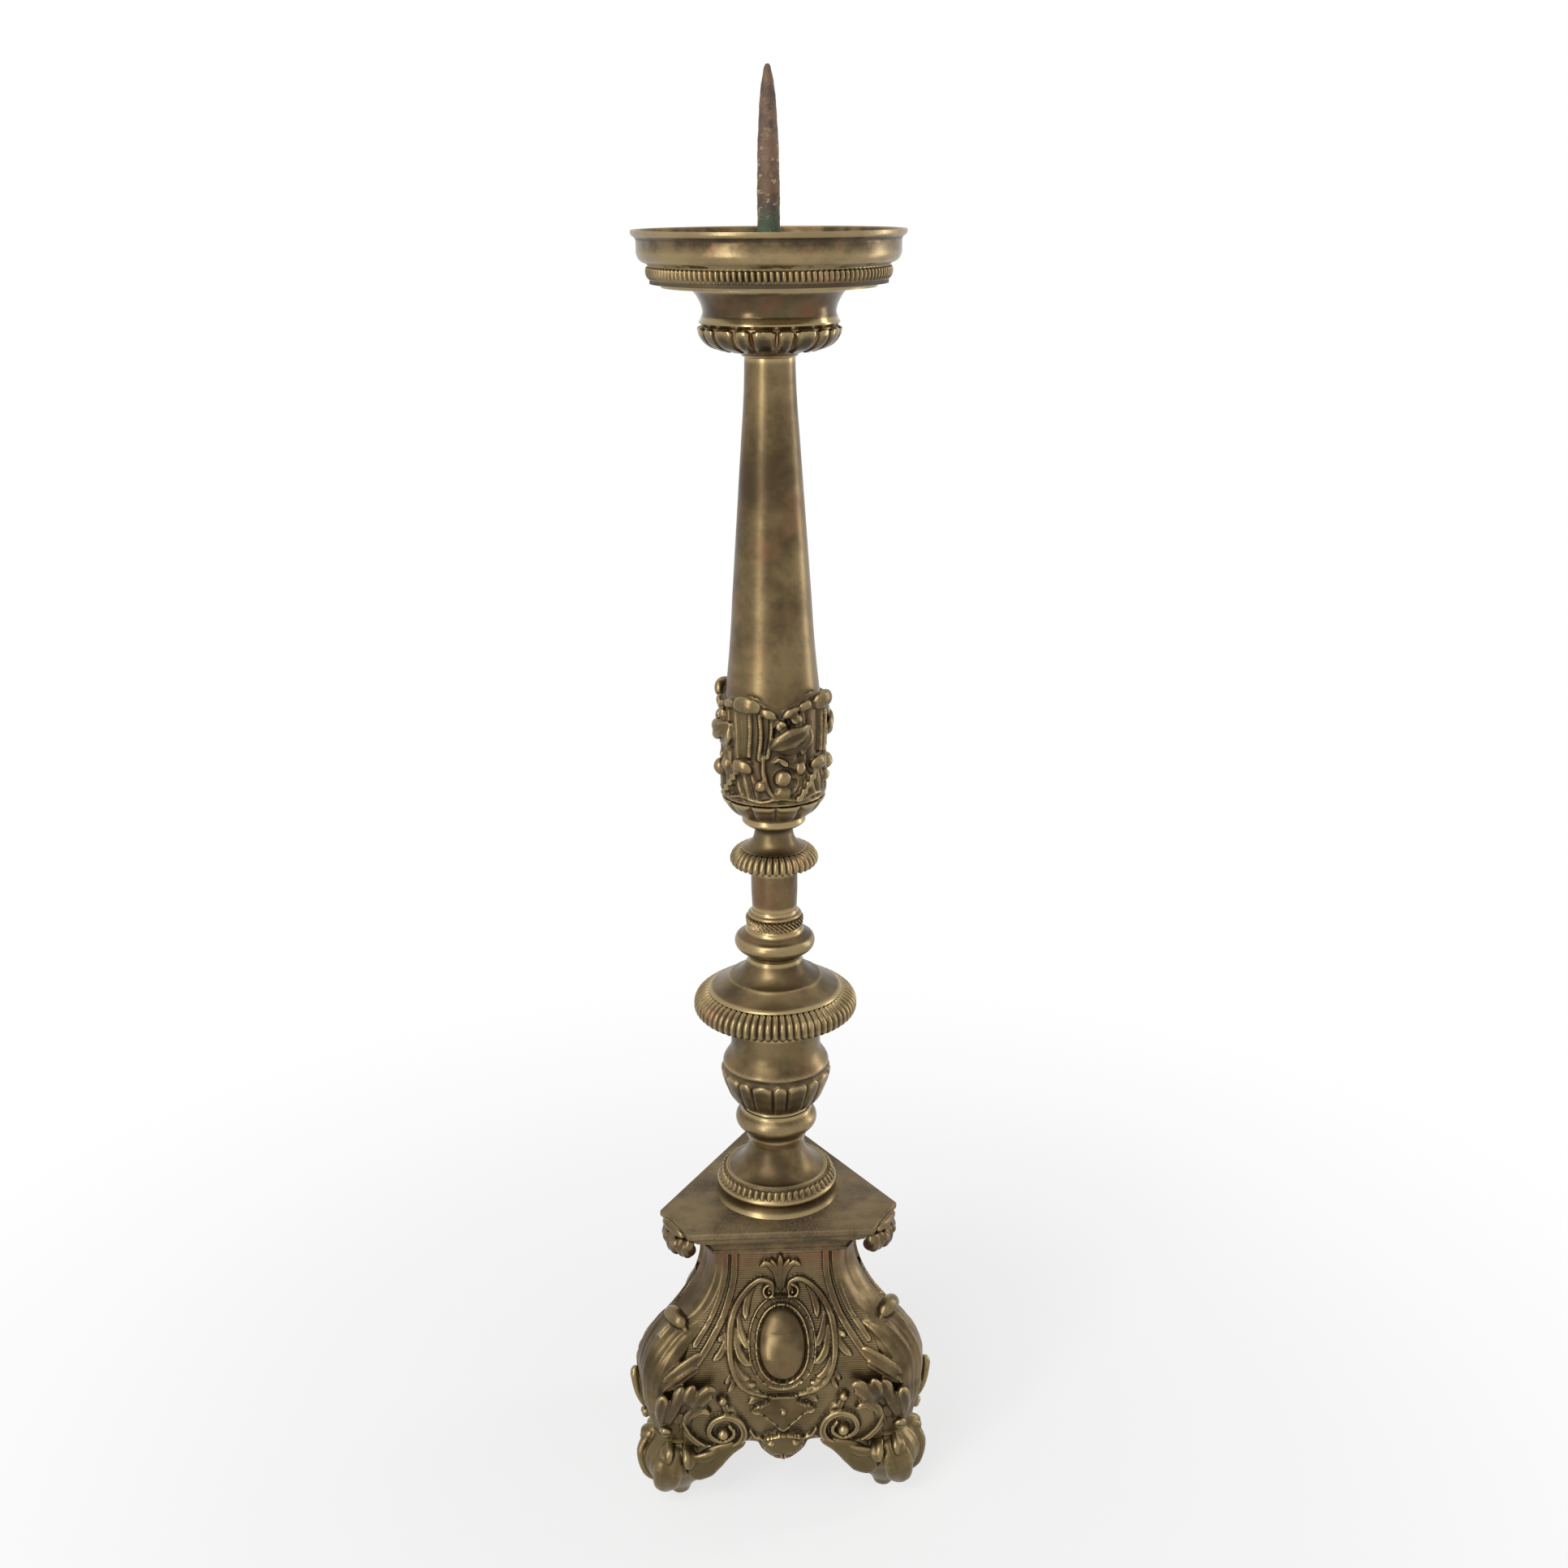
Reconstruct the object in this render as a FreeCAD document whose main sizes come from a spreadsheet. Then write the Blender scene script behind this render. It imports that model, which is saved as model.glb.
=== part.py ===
import FreeCAD, Part
import math
import os
import Sketcher
from FreeCAD import Placement, Rotation, Vector

# Pricket candle stand: an iron rod with a pointed spike holds a column of hollow turned
# brass pieces on a three-sided base with scroll legs. A loose drip pan slips over the spike.
# Millimetres, Z up, origin on the floor under the axis of the stem.

SIDES = 3
FULL_TURN = 360.0
SIDE_TURN = FULL_TURN / SIDES
LEG_BEARING = 90.0 - SIDE_TURN

SIZES = [
    ("rod_radius", 4.0, "iron rod through the stem"),
    ("rod_play", 0.3, "play of the rod in the hole of each piece"),
    ("overrun", 1.0, "how far a cut runs past the metal"),
    ("fit_gap", 0.15, "gap of sleeves and rings round what they sit on"),
    ("screw_play", 0.2, "play of a screw in its hole"),
    ("thread_play", 0.05, "play of the rod in the thread of the spike"),
    ("rod_tail", 4.0, "length of rod below the nut"),
    ("rod_grip", 14.0, "length of rod screwed into the spike"),
    # feet
    ("foot_radius", 21.9, "widest radius of a foot"),
    ("foot_height", 40.0, "height of a foot"),
    ("foot_reach", 66.0, "distance of a foot from the axis"),
    ("foot_screw_radius", 2.5, "shank of the screw up through a foot"),
    ("foot_screw_length", 44.0, "length of that screw"),
    ("foot_screw_head_radius", 5.0, "head of that screw"),
    ("foot_screw_head_height", 3.0, "height of its head"),
    ("foot_screw_recess", 6.0, "depth at which its head seats in the foot"),
    # legs
    ("leg_height", 110.0, "height of a leg above its foot"),
    ("leg_belly_reach", 87.5, "furthest point of a leg from the axis"),
    ("leg_top_reach", 44.4, "distance of a leg's flat face from the axis at its top"),
    ("leg_back_reach", 34.0, "distance of a leg's back at its top"),
    ("leg_foot_back_reach", 52.0, "distance of a leg's back at its foot"),
    ("leg_top_half_width", 10.0, "half width of a leg at its top"),
    ("leg_belly_half_width", 20.5, "half width of a leg at its belly"),
    ("leg_wall", 3.4, "wall of the hollow leg"),
    ("leg_lug_depth", 11.0, "height of the solid block at a leg's top"),
    ("leg_base_depth", 12.0, "height of the solid block at a leg's foot"),
    ("leg_hollow_half_width", 12.5, "half width of the hollow behind a leg's belly"),
    ("leaf_curl_radius", 5.6, "curled tip of the leaf on a leg's shoulder"),
    ("leaf_curl_half_width", 8.0, "half width of that curled tip"),
    # panels
    ("panel_wall", 2.4, "thickness of a side panel"),
    ("panel_top_reach", 30.8, "distance of a panel's face from the axis at its top"),
    ("panel_belly_reach", 53.0, "the same at its belly"),
    ("panel_top_half_width", 33.6, "half width of a panel at its top"),
    ("panel_belly_half_width", 50.0, "half width of a panel at its belly"),
    ("panel_foot", 40.2, "height of a panel's lower edge above the floor"),
    ("pendant_drop", 10.5, "how far the shell at a panel's lower edge hangs down"),
    ("boss_half_width", 14.1, "half width of the oval boss"),
    ("boss_half_height", 18.4, "half height of the oval boss"),
    ("boss_rise", 5.5, "how far the boss stands out"),
    ("boss_centre_height", 101.5, "height of the boss above the floor"),
    ("boss_lean", 22.0, "lean of the boss in degrees"),
    ("frame_margin", 5.0, "width of the oval frame round the boss"),
    ("frame_rise", 2.2, "how far the oval frame stands out"),
    ("palmette_half_width", 10.4, "half width of the palmette over the boss"),
    ("palmette_foot", 131.0, "height of its lower end above the floor"),
    ("palmette_height", 18.0, "height of the palmette"),
    ("palmette_rise", 2.4, "how far the palmette stands out"),
    ("shield_half_width", 19.5, "half width of the shield under the boss"),
    ("shield_foot", 50.0, "height of its lower tip above the floor"),
    ("shield_height", 26.0, "height of the shield"),
    ("shield_rise", 1.4, "how far the shield stands out"),
    ("pendant_half_width", 9.5, "half width of the shell at the lower edge"),
    ("volute_radius", 11.8, "scroll at a panel's lower corner"),
    ("volute_eye_radius", 4.4, "eye of that scroll"),
    ("volute_rise", 3.2, "how far the scroll stands out"),
    ("volute_eye_rise", 5.4, "how far its eye stands out"),
    ("volute_offset", 35.3, "distance of a scroll from the panel's middle"),
    ("volute_height", 54.0, "height of a scroll above the floor"),
    # cornice and base plate
    ("cornice_height", 13.0, "height of the hollow moulding under the plate"),
    ("cornice_top_reach", 43.4, "distance of its upper edge from the axis"),
    ("cornice_top_half_side", 45.6, "half length of its upper edge"),
    ("cornice_hole_reach", 25.0, "distance of its inner faces"),
    ("cornice_hole_half_side", 26.0, "half length of its inner faces"),
    ("plate_reach", 46.1, "distance of the plate's edge from the axis"),
    ("plate_half_side", 49.0, "half length of a side of the plate"),
    ("plate_thickness", 7.0, "thickness of the base plate"),
    ("plate_bevel", 0.8, "bevel along the plate's upper edge"),
    ("clasp_half_width", 13.5, "half width of a corner clasp"),
    ("clasp_height", 16.0, "height of a corner clasp"),
    ("clasp_reach", 68.0, "furthest point of a corner clasp from the axis"),
    # bridge, washer, nut and screws under the plate
    ("bridge_thickness", 4.0, "thickness of the iron bridge"),
    ("bridge_hub_radius", 14.0, "hub of the bridge"),
    ("bridge_arm_half_width", 6.0, "half width of an arm of the bridge"),
    ("bridge_arm_reach", 40.0, "reach of an arm of the bridge"),
    ("bridge_screw_reach", 37.2, "distance of the arm's screw from the axis"),
    ("bridge_screw_radius", 2.0, "shank of the arm's screw"),
    ("bridge_screw_length", 9.0, "length of its shank"),
    ("bridge_screw_head_radius", 3.6, "head of the arm's screw"),
    ("bridge_screw_head_height", 2.4, "height of its head"),
    ("washer_radius", 11.0, "washer under the bridge"),
    ("washer_thickness", 2.0, "thickness of the washer"),
    ("nut_half_flats", 6.5, "half the width across the nut's flats"),
    ("nut_height", 6.5, "height of the nut"),
    # turned pieces of the stem, from the plate up
    ("bell_foot_radius", 33.6, "lowest edge of the bell foot"),
    ("bell_foot_height", 34.0, "height of the bell foot"),
    ("foot_bead_ring_radius", 31.9, "outer edge of the beaded ring"),
    ("foot_bead_ring_height", 6.2, "height of the beaded ring"),
    ("foot_bead_count", 52, "beads round the ring"),
    ("lower_torus_radius", 21.0, "ring over the bell foot"),
    ("lower_torus_height", 18.5, "height of that ring"),
    ("urn_bowl_radius", 28.9, "lobed bowl"),
    ("urn_bowl_height", 18.5, "height of the lobed bowl"),
    ("urn_lobe_count", 18, "lobes round the bowl"),
    ("urn_neck_radius", 29.3, "shoulder above the lobed bowl"),
    ("urn_neck_height", 31.0, "height of the shoulder and neck"),
    ("knop_rim_radius", 43.3, "gadrooned rim of the large knop"),
    ("knop_rim_height", 19.4, "height of that rim"),
    ("knop_rim_count", 68, "gadroons round the rim"),
    ("knop_dome_radius", 35.6, "stepped dome of the large knop"),
    ("knop_dome_height", 18.6, "height of the dome"),
    ("torus_ring_radius", 21.3, "ring over the dome"),
    ("torus_ring_height", 16.5, "height of that ring"),
    ("rope_ring_radius", 15.3, "rope-edged ring"),
    ("rope_ring_height", 10.5, "height of the rope-edged ring"),
    ("stem_collar_radius", 12.1, "plain collar"),
    ("stem_collar_height", 23.0, "height of the plain collar"),
    ("upper_disc_radius", 22.9, "gadrooned disc of the small knop"),
    ("upper_disc_height", 11.0, "height of that disc"),
    ("upper_disc_count", 38, "gadroons round the disc"),
    ("upper_neck_radius", 16.8, "neck of the small knop"),
    ("upper_neck_height", 16.5, "height of that neck"),
    ("leaf_calyx_radius", 26.9, "calyx under the leaves"),
    ("leaf_calyx_height", 13.5, "height of the calyx"),
    ("calyx_leaf_count", 12, "leaves round the calyx"),
    ("shaft_tube_radius", 24.8, "shaft at its foot"),
    ("shaft_tube_height", 218.5, "length of the shaft"),
    ("leaf_sleeve_radius", 27.2, "band at the foot of the leaf sleeve"),
    ("leaf_sleeve_height", 54.0, "height of the leaf sleeve"),
    ("sleeve_leaf_count", 4, "tall leaves round the sleeve"),
    ("sleeve_gap_depth", 18.5, "depth of the gap between two tall leaves"),
    ("sleeve_gap_half_width", 11.5, "half width of that gap at the top"),
    ("tip_curl_radius", 3.4, "half height of the curled tip of a tall leaf"),
    ("tip_curl_rise", 2.2, "half depth of that tip"),
    ("tip_curl_half_width", 8.0, "half width of that tip"),
    ("capital_bowl_radius", 34.8, "lobed bowl of the capital"),
    ("capital_bowl_height", 17.0, "height of that bowl"),
    ("capital_lobe_count", 20, "lobes round that bowl"),
    ("capital_neck_radius", 37.8, "flared rim of the capital"),
    ("capital_neck_height", 15.5, "height of the capital's neck"),
    # drip pan and spike
    ("drip_pan_radius", 64.8, "rim of the drip pan"),
    ("drip_pan_height", 26.0, "height of the drip pan"),
    ("pan_play", 0.8, "play of the spike in the pan's hole"),
    ("pan_gadroon_ring_radius", 58.8, "gadrooned ring round the pan"),
    ("pan_gadroon_ring_height", 8.4, "height of that ring"),
    ("pan_gadroon_count", 104, "gadroons round the pan"),
    ("spike_radius", 5.4, "spike just above the pan"),
    ("spike_tip_radius", 1.7, "blunt tip of the spike"),
    ("spike_length", 106.0, "spike from its seat to its tip"),
    ("spike_collar_radius", 11.0, "collar that bears on the seat washer"),
    ("spike_collar_height", 4.6, "height of that collar"),
    ("spike_boss_radius", 7.0, "boss below the collar"),
    ("spike_boss_length", 18.0, "length of that boss"),
    ("seat_washer_radius", 21.0, "iron washer in the capital"),
    ("seat_washer_thickness", 2.0, "thickness of that washer"),
    ("gadroon_depth", 0.9, "depth of a fine flute"),
    ("lobe_depth", 1.3, "depth of the flute between two lobes"),
]

# Outlines of the turned pieces. Each corner is a share of the piece's radius, a share of its
# height and the bulge of the curve to the next corner: the rise of its arc as a share of half
# its chord, positive to the right of the way. HOLE stands for the hole of the rod.
HOLE = "hole"

FOOT_SHARE = [(0.5, 0.0, 0.15), (0.9, 0.38, 0.16), (1.0, 0.7, 0.45), (0.64, 1.0, 0), (HOLE, 1.0, 0)]
BEAD_SEAT_SHARE = 0.26
BEAD_BACK_SHARE = 0.8
BELL_FOOT_SHARE = [
    (1.0, 0.0, -0.12), (0.955, 0.19, 0), (0.972, 0.215, 0.4), (0.965, BEAD_SEAT_SHARE, 0),
    (BEAD_BACK_SHARE, BEAD_SEAT_SHARE, 0), (BEAD_BACK_SHARE, 0.41, 0.5), (0.755, 0.455, -0.28),
    (0.445, 0.93, 0), (0.465, 1.0, 0),
    (HOLE, 1.0, 0), (HOLE, 0.92, 0), (0.33, 0.92, 0), (0.36, 0.75, 0.2), (0.68, 0.36, 0),
    (0.76, 0.18, 0), (0.87, 0.0, 0),
]
FOOT_BEAD_RING_SHARE = [(1.0, 0.0, 0.1), (1.0, 0.2, 0.3), (0.87, 1.0, 0)]
LOWER_TORUS_SHARE = [
    (0.75, 0.0, 0), (0.77, 0.08, -0.3), (0.85, 0.32, 0.62), (0.955, 0.83, 0),
    (0.895, 0.92, -0.2), (0.885, 1.0, 0),
    (HOLE, 1.0, 0), (HOLE, 0.88, 0), (0.72, 0.88, 0), (0.84, 0.62, 0), (0.62, 0.12, 0), (0.62, 0.0, 0),
]
URN_BOWL_SHARE = [
    (0.64, 0.0, 0), (0.665, 0.1, 0.2), (0.93, 0.7, 0.1), (0.99, 0.95, 0), (0.995, 1.0, 0),
    (HOLE, 1.0, 0), (HOLE, 0.88, 0), (0.86, 0.88, 0), (0.8, 0.65, 0), (0.52, 0.1, 0), (0.52, 0.0, 0),
]
URN_NECK_SHARE = [
    (0.985, 0.0, 0.25), (0.99, 0.19, 0.16), (0.9, 0.4, -0.2), (0.812, 0.62, 0), (0.812, 1.0, 0),
    (HOLE, 1.0, 0), (HOLE, 0.93, 0), (0.72, 0.93, 0), (0.72, 0.6, 0), (0.86, 0.3, 0), (0.9, 0.0, 0),
]
KNOP_RIM_SHARE = [
    (0.58, 0.0, 0), (0.84, 0.26, 0.2), (0.96, 0.36, 0.32), (1.0, 0.58, 0.3), (0.925, 0.88, 0.12),
    (0.83, 1.0, 0),
    (HOLE, 1.0, 0), (HOLE, 0.88, 0), (0.76, 0.88, 0), (0.9, 0.66, 0), (0.9, 0.5, 0), (0.5, 0.12, 0),
    (0.5, 0.0, 0),
]
KNOP_DOME_SHARE = [
    (1.0, 0.0, 0.4), (0.975, 0.09, -0.1), (0.7, 0.37, 0.4), (0.665, 0.42, -0.26), (0.41, 0.9, 0),
    (0.402, 1.0, 0),
    (HOLE, 1.0, 0), (HOLE, 0.88, 0), (0.3, 0.88, 0), (0.6, 0.26, 0), (0.86, 0.0, 0),
]
TORUS_RING_SHARE = [
    (0.67, 0.0, 0), (0.7, 0.13, -0.2), (0.8, 0.24, 0.6), (0.935, 0.72, 0), (0.83, 0.78, 0),
    (0.8, 0.83, -0.3), (0.685, 1.0, 0),
    (HOLE, 1.0, 0), (HOLE, 0.86, 0), (0.56, 0.86, 0), (0.84, 0.58, 0), (0.84, 0.42, 0), (0.56, 0.1, 0),
    (0.56, 0.0, 0),
]
ROPE_RING_SHARE = [
    (0.94, 0.0, 0), (0.965, 0.12, 0.1), (0.985, 0.42, 0.4), (0.985, 0.58, 0.1), (0.9, 0.78, -0.2),
    (0.79, 0.9, 0), (0.78, 1.0, 0),
    (HOLE, 1.0, 0), (HOLE, 0.8, 0), (0.64, 0.8, 0), (0.78, 0.55, 0), (0.78, 0.0, 0),
]
STEM_COLLAR_SHARE = [
    (0.965, 0.0, 0), (0.975, 0.2, 0.02), (1.0, 0.6, 0), (1.0, 1.0, 0),
    (HOLE, 1.0, 0), (HOLE, 0.9, 0), (0.84, 0.9, 0), (0.84, 0.0, 0),
]
UPPER_DISC_SHARE = [
    (0.6, 0.0, 0), (0.86, 0.1, 0.25), (0.985, 0.3, 0.3), (0.985, 0.62, 0.28), (0.73, 1.0, 0),
    (HOLE, 1.0, 0), (HOLE, 0.82, 0), (0.62, 0.82, 0), (0.84, 0.5, 0), (0.52, 0.16, 0), (0.52, 0.0, 0),
]
UPPER_NECK_SHARE = [
    (1.0, 0.0, -0.32), (0.6, 0.5, -0.5), (0.72, 0.74, 0.1), (0.95, 0.87, 0.45), (0.96, 1.0, 0),
    (HOLE, 1.0, 0), (HOLE, 0.9, 0), (0.62, 0.9, 0), (0.46, 0.66, 0), (0.46, 0.42, 0), (0.84, 0.0, 0),
]
LEAF_CALYX_SHARE = [
    (0.605, 0.0, 0), (0.64, 0.15, 0.18), (0.93, 0.72, 0.25), (1.0, 1.0, 0),
    (HOLE, 1.0, 0), (HOLE, 0.84, 0), (0.86, 0.84, 0), (0.82, 0.68, 0), (0.5, 0.12, 0), (0.5, 0.0, 0),
]
SHAFT_TUBE_SHARE = [
    (0.985, 0.0, 0), (1.0, 0.21, -0.02), (0.8, 0.46, 0), (0.565, 0.84, -0.02), (0.495, 1.0, 0),
    (HOLE, 1.0, 0), (HOLE, 0.985, 0), (0.43, 0.985, 0), (0.5, 0.84, 0), (0.735, 0.46, 0),
    (0.93, 0.21, 0), (0.92, 0.0, 0),
]
CAPITAL_BOWL_SHARE = [
    (0.355, 0.0, 0), (0.415, 0.06, 0.05), (0.75, 0.24, 0.22), (0.96, 0.56, 0.3), (0.965, 1.0, 0),
    (HOLE, 1.0, 0), (HOLE, 0.84, 0), (0.84, 0.84, 0), (0.84, 0.6, 0), (0.66, 0.34, 0), (0.3, 0.14, 0),
    (0.3, 0.0, 0),
]
SEAT_SHARE = 0.36
CAPITAL_NECK_SHARE = [
    (0.88, 0.0, 0), (0.84, 0.24, -0.12), (0.9, 0.68, -0.1), (0.985, 0.94, 0), (1.0, 1.0, 0),
    (0.87, 1.0, 0), (0.72, SEAT_SHARE, 0), (HOLE, SEAT_SHARE, 0), (HOLE, 0.2, 0), (0.7, 0.2, 0),
    (0.76, 0.0, 0),
]
PAN_WAIST_SHARE = 0.868
PAN_LIP_SHARE = 0.79
PAN_SHOULDER_SHARE = 0.39
PAN_FLOOR_SHARE = 0.065
DRIP_PAN_SHARE = [
    (0.787, 0.0, 0), (PAN_LIP_SHARE, 0.05, 0), (PAN_WAIST_SHARE, 0.2, 0),
    (PAN_WAIST_SHARE, PAN_SHOULDER_SHARE, 0), (0.888, PAN_SHOULDER_SHARE, 0), (0.888, 0.425, 0.35),
    (0.955, 0.55, 0.15), (0.9615, 0.66, 0), (0.9615, 0.84, -0.2), (0.992, 0.9, 0.3), (0.998, 1.0, 0),
    (0.98, 1.0, 0), (0.942, 0.84, 0), (0.942, 0.6, 0), (0.93, 0.55, 0), (0.85, 0.46, 0),
    (0.848, 0.22, 0), (0.78, PAN_FLOOR_SHARE, 0), (HOLE, PAN_FLOOR_SHARE, 0), (HOLE, 0.0, 0),
]
PAN_GADROON_RING_SHARE = [(0.9, 0.0, 0.2), (0.985, 0.4, 0.2), (0.985, 0.93, 0), (0.972, 1.0, 0)]
LEAF_SLEEVE_SHARE = [
    (0.985, 0.0, 0.2), (1.0, 0.075, 0), (0.965, 0.12, 0), (1.02, 0.22, 0.04), (1.05, 0.58, 0.04),
    (1.0, 0.84, 0), (1.03, 1.0, 0),
]
SPIKE_SHARE = [(1.0, 0.36, 0), (0.98, 0.52, 0.01), (0.8, 0.77, 0.01), (0.56, 0.94, 0)]

# Faces of a leg from the foot up: shares of the way from its top's reach to its belly's, and of
# its height. The first list is the leaf-clad part, the second the bare part over it.
LEAF_FACE_SHARE = [
    (0.82, 0.0, 0.05), (0.94, 0.165, 0.12), (1.0, 0.31, 0.14), (0.96, 0.49, 0.12), (0.8, 0.58, 0.1),
    (0.62, 0.64, 0),
]
BARE_FACE_SHARE = [(0.37, 0.645, -0.14), (0.12, 0.78, -0.12), (0.0, 0.91, 0), (0.0, 1.0, 0)]
LEG_WIDTH_SHARE = [
    (0.62, 0.0, 0.1), (0.95, 0.15, 0), (1.0, 0.28, 0), (1.0, 0.45, 0.1), (0.25, 0.65, 0), (0.15, 0.8, 0),
    (0.0, 0.92, 0), (0.0, 1.0, 0),
]
CURL_REACH_SHARE = 0.5
CURL_HEIGHT_SHARE = 0.685
# Face of a panel from its lower edge up: shares of the way from its top's reach to its belly's,
# and of its height.
PANEL_FACE_SHARE = [
    (0.82, 0.0, 0.1), (1.0, 0.286, 0.12), (0.887, 0.51, 0.08), (0.6, 0.605, 0), (0.35, 0.6875, -0.1),
    (0.0, 0.91, 0), (0.0, 1.0, 0),
]
PENDANT_REACH_SHARE = 0.76
BOSS_REACH_SHARE = 0.72
VOLUTE_REACH_SHARE = 0.96
PALMETTE_REACH_SHARE = 0.12
SHIELD_REACH_SHARE = 0.98
# Half outlines of the flat ornaments, in shares of their half width and height, from below.
PALMETTE_SHARE = [(0.35, 0.0), (0.7, 0.12), (0.62, 0.34), (0.45, 0.42), (1.0, 0.82), (0.8, 0.95), (0.3, 0.7)]
SHIELD_SHARE = [(0.16, 0.02), (0.3, 0.14), (0.62, 0.34), (1.0, 0.5), (0.95, 0.62), (0.7, 0.66), (0.66, 1.0)]
PENDANT_SHARE = [(1.0, 1.0), (0.82, 0.4), (0.34, 0.0)]
# Section of a corner clasp from below: shares of the way from its back to its reach, and height.
CLASP_SHARE = [(0.0, 0.0, 0), (0.35, 0.0, 0.3), (0.86, 0.4, -0.2), (1.0, 0.72, 0.5), (0.92, 1.0, 0)]
CLASP_WIDTH_SHARE = [(0.4, 0.0, 0.25), (0.96, 0.55, 0.1), (1.0, 1.0, 0)]
CORNICE_STEPS_SHARE = [(0.0, 0.0), (0.14, 0.3), (0.45, 0.65), (1.0, 0.86), (1.0, 1.0)]
LEAF_TURN = -40.0
LOBE_TURN_SHARE = 0.14
GADROON_TURN_SHARE = 0.34
NUT_SIDES = 6
OVAL_ARCS = 8
OVAL_BULGE = 0.2
BOSS_DOME_SHARE = [(1.0, 0.0), (0.94, 0.6), (0.72, 0.95), (0.3, 1.25)]
HOLLOW_TOP_SHARE = 0.6
HOLLOW_FACE_SHARE = [(0.77, 0.1, 0), (0.9, 0.31, 0), (0.86, 0.49, 0), (0.68, 0.58, 0)]
PAN_RING_LIP_SHARE = 0.797

doc = FreeCAD.newDocument("pricket_stand")
sheet = doc.addObject("Spreadsheet::Sheet", "Sizes")
for row, (alias, value, note) in enumerate(SIZES, start=1):
    sheet.set("A%d" % row, note)
    sheet.set("B%d" % row, str(value))
    sheet.setAlias("B%d" % row, alias)
doc.recompute()

pieces = []
standing = {}


class Size:
    """A length: its value now and the expression that ties it to the sheet."""

    def __init__(self, value, text):
        self.value = value
        self.text = text

    def __add__(self, other):
        return Size(self.value + other.value, "(%s + %s)" % (self.text, other.text))

    def __sub__(self, other):
        return Size(self.value - other.value, "(%s - %s)" % (self.text, other.text))

    def __mul__(self, factor):
        return Size(self.value * factor, "%s * %s" % (self.text, repr(round(factor, 9))))

    def __neg__(self):
        return self * -1.0


ZERO = Size(0.0, "0")


def size(alias):
    return Size(float(sheet.get(alias)), "Sizes." + alias)


def span(start, end, share):
    """The length at a share of the way from one length to another."""
    return start * (1.0 - share) + end * share


def bind(feature, name, length):
    """Give a property its value and tie it to the sheet."""
    feature.setExpression(name, length.text)


def arc_radius(start, end, bulge):
    """Radius of the arc between two corners, for its rise as a share of half its chord."""
    factor = (1.0 + bulge * bulge) / (4.0 * abs(bulge))
    across = end[0] - start[0]
    up = end[1] - start[1]
    value = math.hypot(across.value, up.value) * factor
    text = "sqrt(%s ^ 2 + %s ^ 2) * %s" % (across.text, up.text, repr(round(factor, 9)))
    return Size(value, text)


def curve_between(start, end, bulge):
    """A straight line or an arc between two corners."""
    first = Vector(start[0].value, start[1].value, 0)
    last = Vector(end[0].value, end[1].value, 0)
    if not bulge:
        return Part.LineSegment(first, last)
    half = (last - first) * 0.5
    middle = first + half + Vector(half.y, -half.x, 0) * bulge
    return Part.Arc(first, middle, last)


def tie_point(sketch, curve, end, across, up):
    """Fix one end of a curve at a place that the sheet gives."""
    for kind, length, axis in (("DistanceX", across, -2), ("DistanceY", up, -1)):
        if length.text == ZERO.text:
            sketch.addConstraint(Sketcher.Constraint("PointOnObject", curve, end, axis))
            continue
        constraint = Sketcher.Constraint(kind, -1, 1, curve, end, length.value)
        number = sketch.addConstraint(constraint)
        sketch.setExpression("Constraints[%d]" % number, length.text)


def draw_outline(sketch, corners):
    """Draw a closed outline through corners, each a length across, a length up and a bulge."""
    ahead = corners[1:] + corners[:1]
    drawn = []
    for start, end in zip(corners, ahead):
        curve = sketch.addGeometry(curve_between(start, end, start[2]), False)
        place = Vector(start[0].value, start[1].value, 0)
        gap_first = sketch.getPoint(curve, 1).distanceToPoint(place)
        gap_last = sketch.getPoint(curve, 2).distanceToPoint(place)
        flipped = gap_first > gap_last
        drawn.append((curve, 2 if flipped else 1, 1 if flipped else 2))
    for (curve, first, last), (following, opening, closing) in zip(drawn, drawn[1:] + drawn[:1]):
        sketch.addConstraint(Sketcher.Constraint("Coincident", curve, last, following, opening))
    for (curve, first, last), start, end in zip(drawn, corners, ahead):
        tie_point(sketch, curve, first, start[0], start[1])
        if start[2]:
            radius = arc_radius(start, end, start[2])
            number = sketch.addConstraint(Sketcher.Constraint("Radius", curve, radius.value))
            sketch.setExpression("Constraints[%d]" % number, radius.text)


def origin_part(body, role):
    for feature in body.Origin.OriginFeatures:
        if feature.Role == role:
            return feature
    raise RuntimeError("no " + role)


def new_body(label):
    body = doc.addObject("PartDesign::Body", label)
    body.Label = label
    pieces.append(body)
    return body


def new_sketch(body, name, role, outlines, lift=None, turn=0.0):
    """A sketch on one of the body's own planes, turned round its upright and lifted off it."""
    sketch = body.newObject("Sketcher::SketchObject", name)
    sketch.AttachmentSupport = (origin_part(body, role), [""])
    sketch.MapMode = "FlatFace"
    if turn:
        sketch.AttachmentOffset = Placement(Vector(0, 0, 0), Rotation(Vector(0, 1, 0), turn))
    if lift:
        bind(sketch, ".AttachmentOffset.Base.z", lift)
    for corners in outlines:
        draw_outline(sketch, corners)
    return sketch


def pad(body, name, sketch, length, both_ways=False, reverse=False):
    feature = body.newObject("PartDesign::Pad", name)
    feature.Profile = sketch
    feature.Midplane = both_ways
    feature.Reversed = reverse
    bind(feature, "Length", length)
    return feature


def pocket(body, name, sketch, length, both_ways=False, reverse=False):
    """Cut a sketch through the body and make sure that it takes metal away."""
    doc.recompute()
    before = body.Shape.Volume
    feature = body.newObject("PartDesign::Pocket", name)
    feature.Profile = sketch
    feature.Midplane = both_ways
    feature.Reversed = reverse
    bind(feature, "Length", length)
    doc.recompute()
    if body.Shape.Volume >= before:
        raise RuntimeError(name + " cuts nothing")
    return feature


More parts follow.
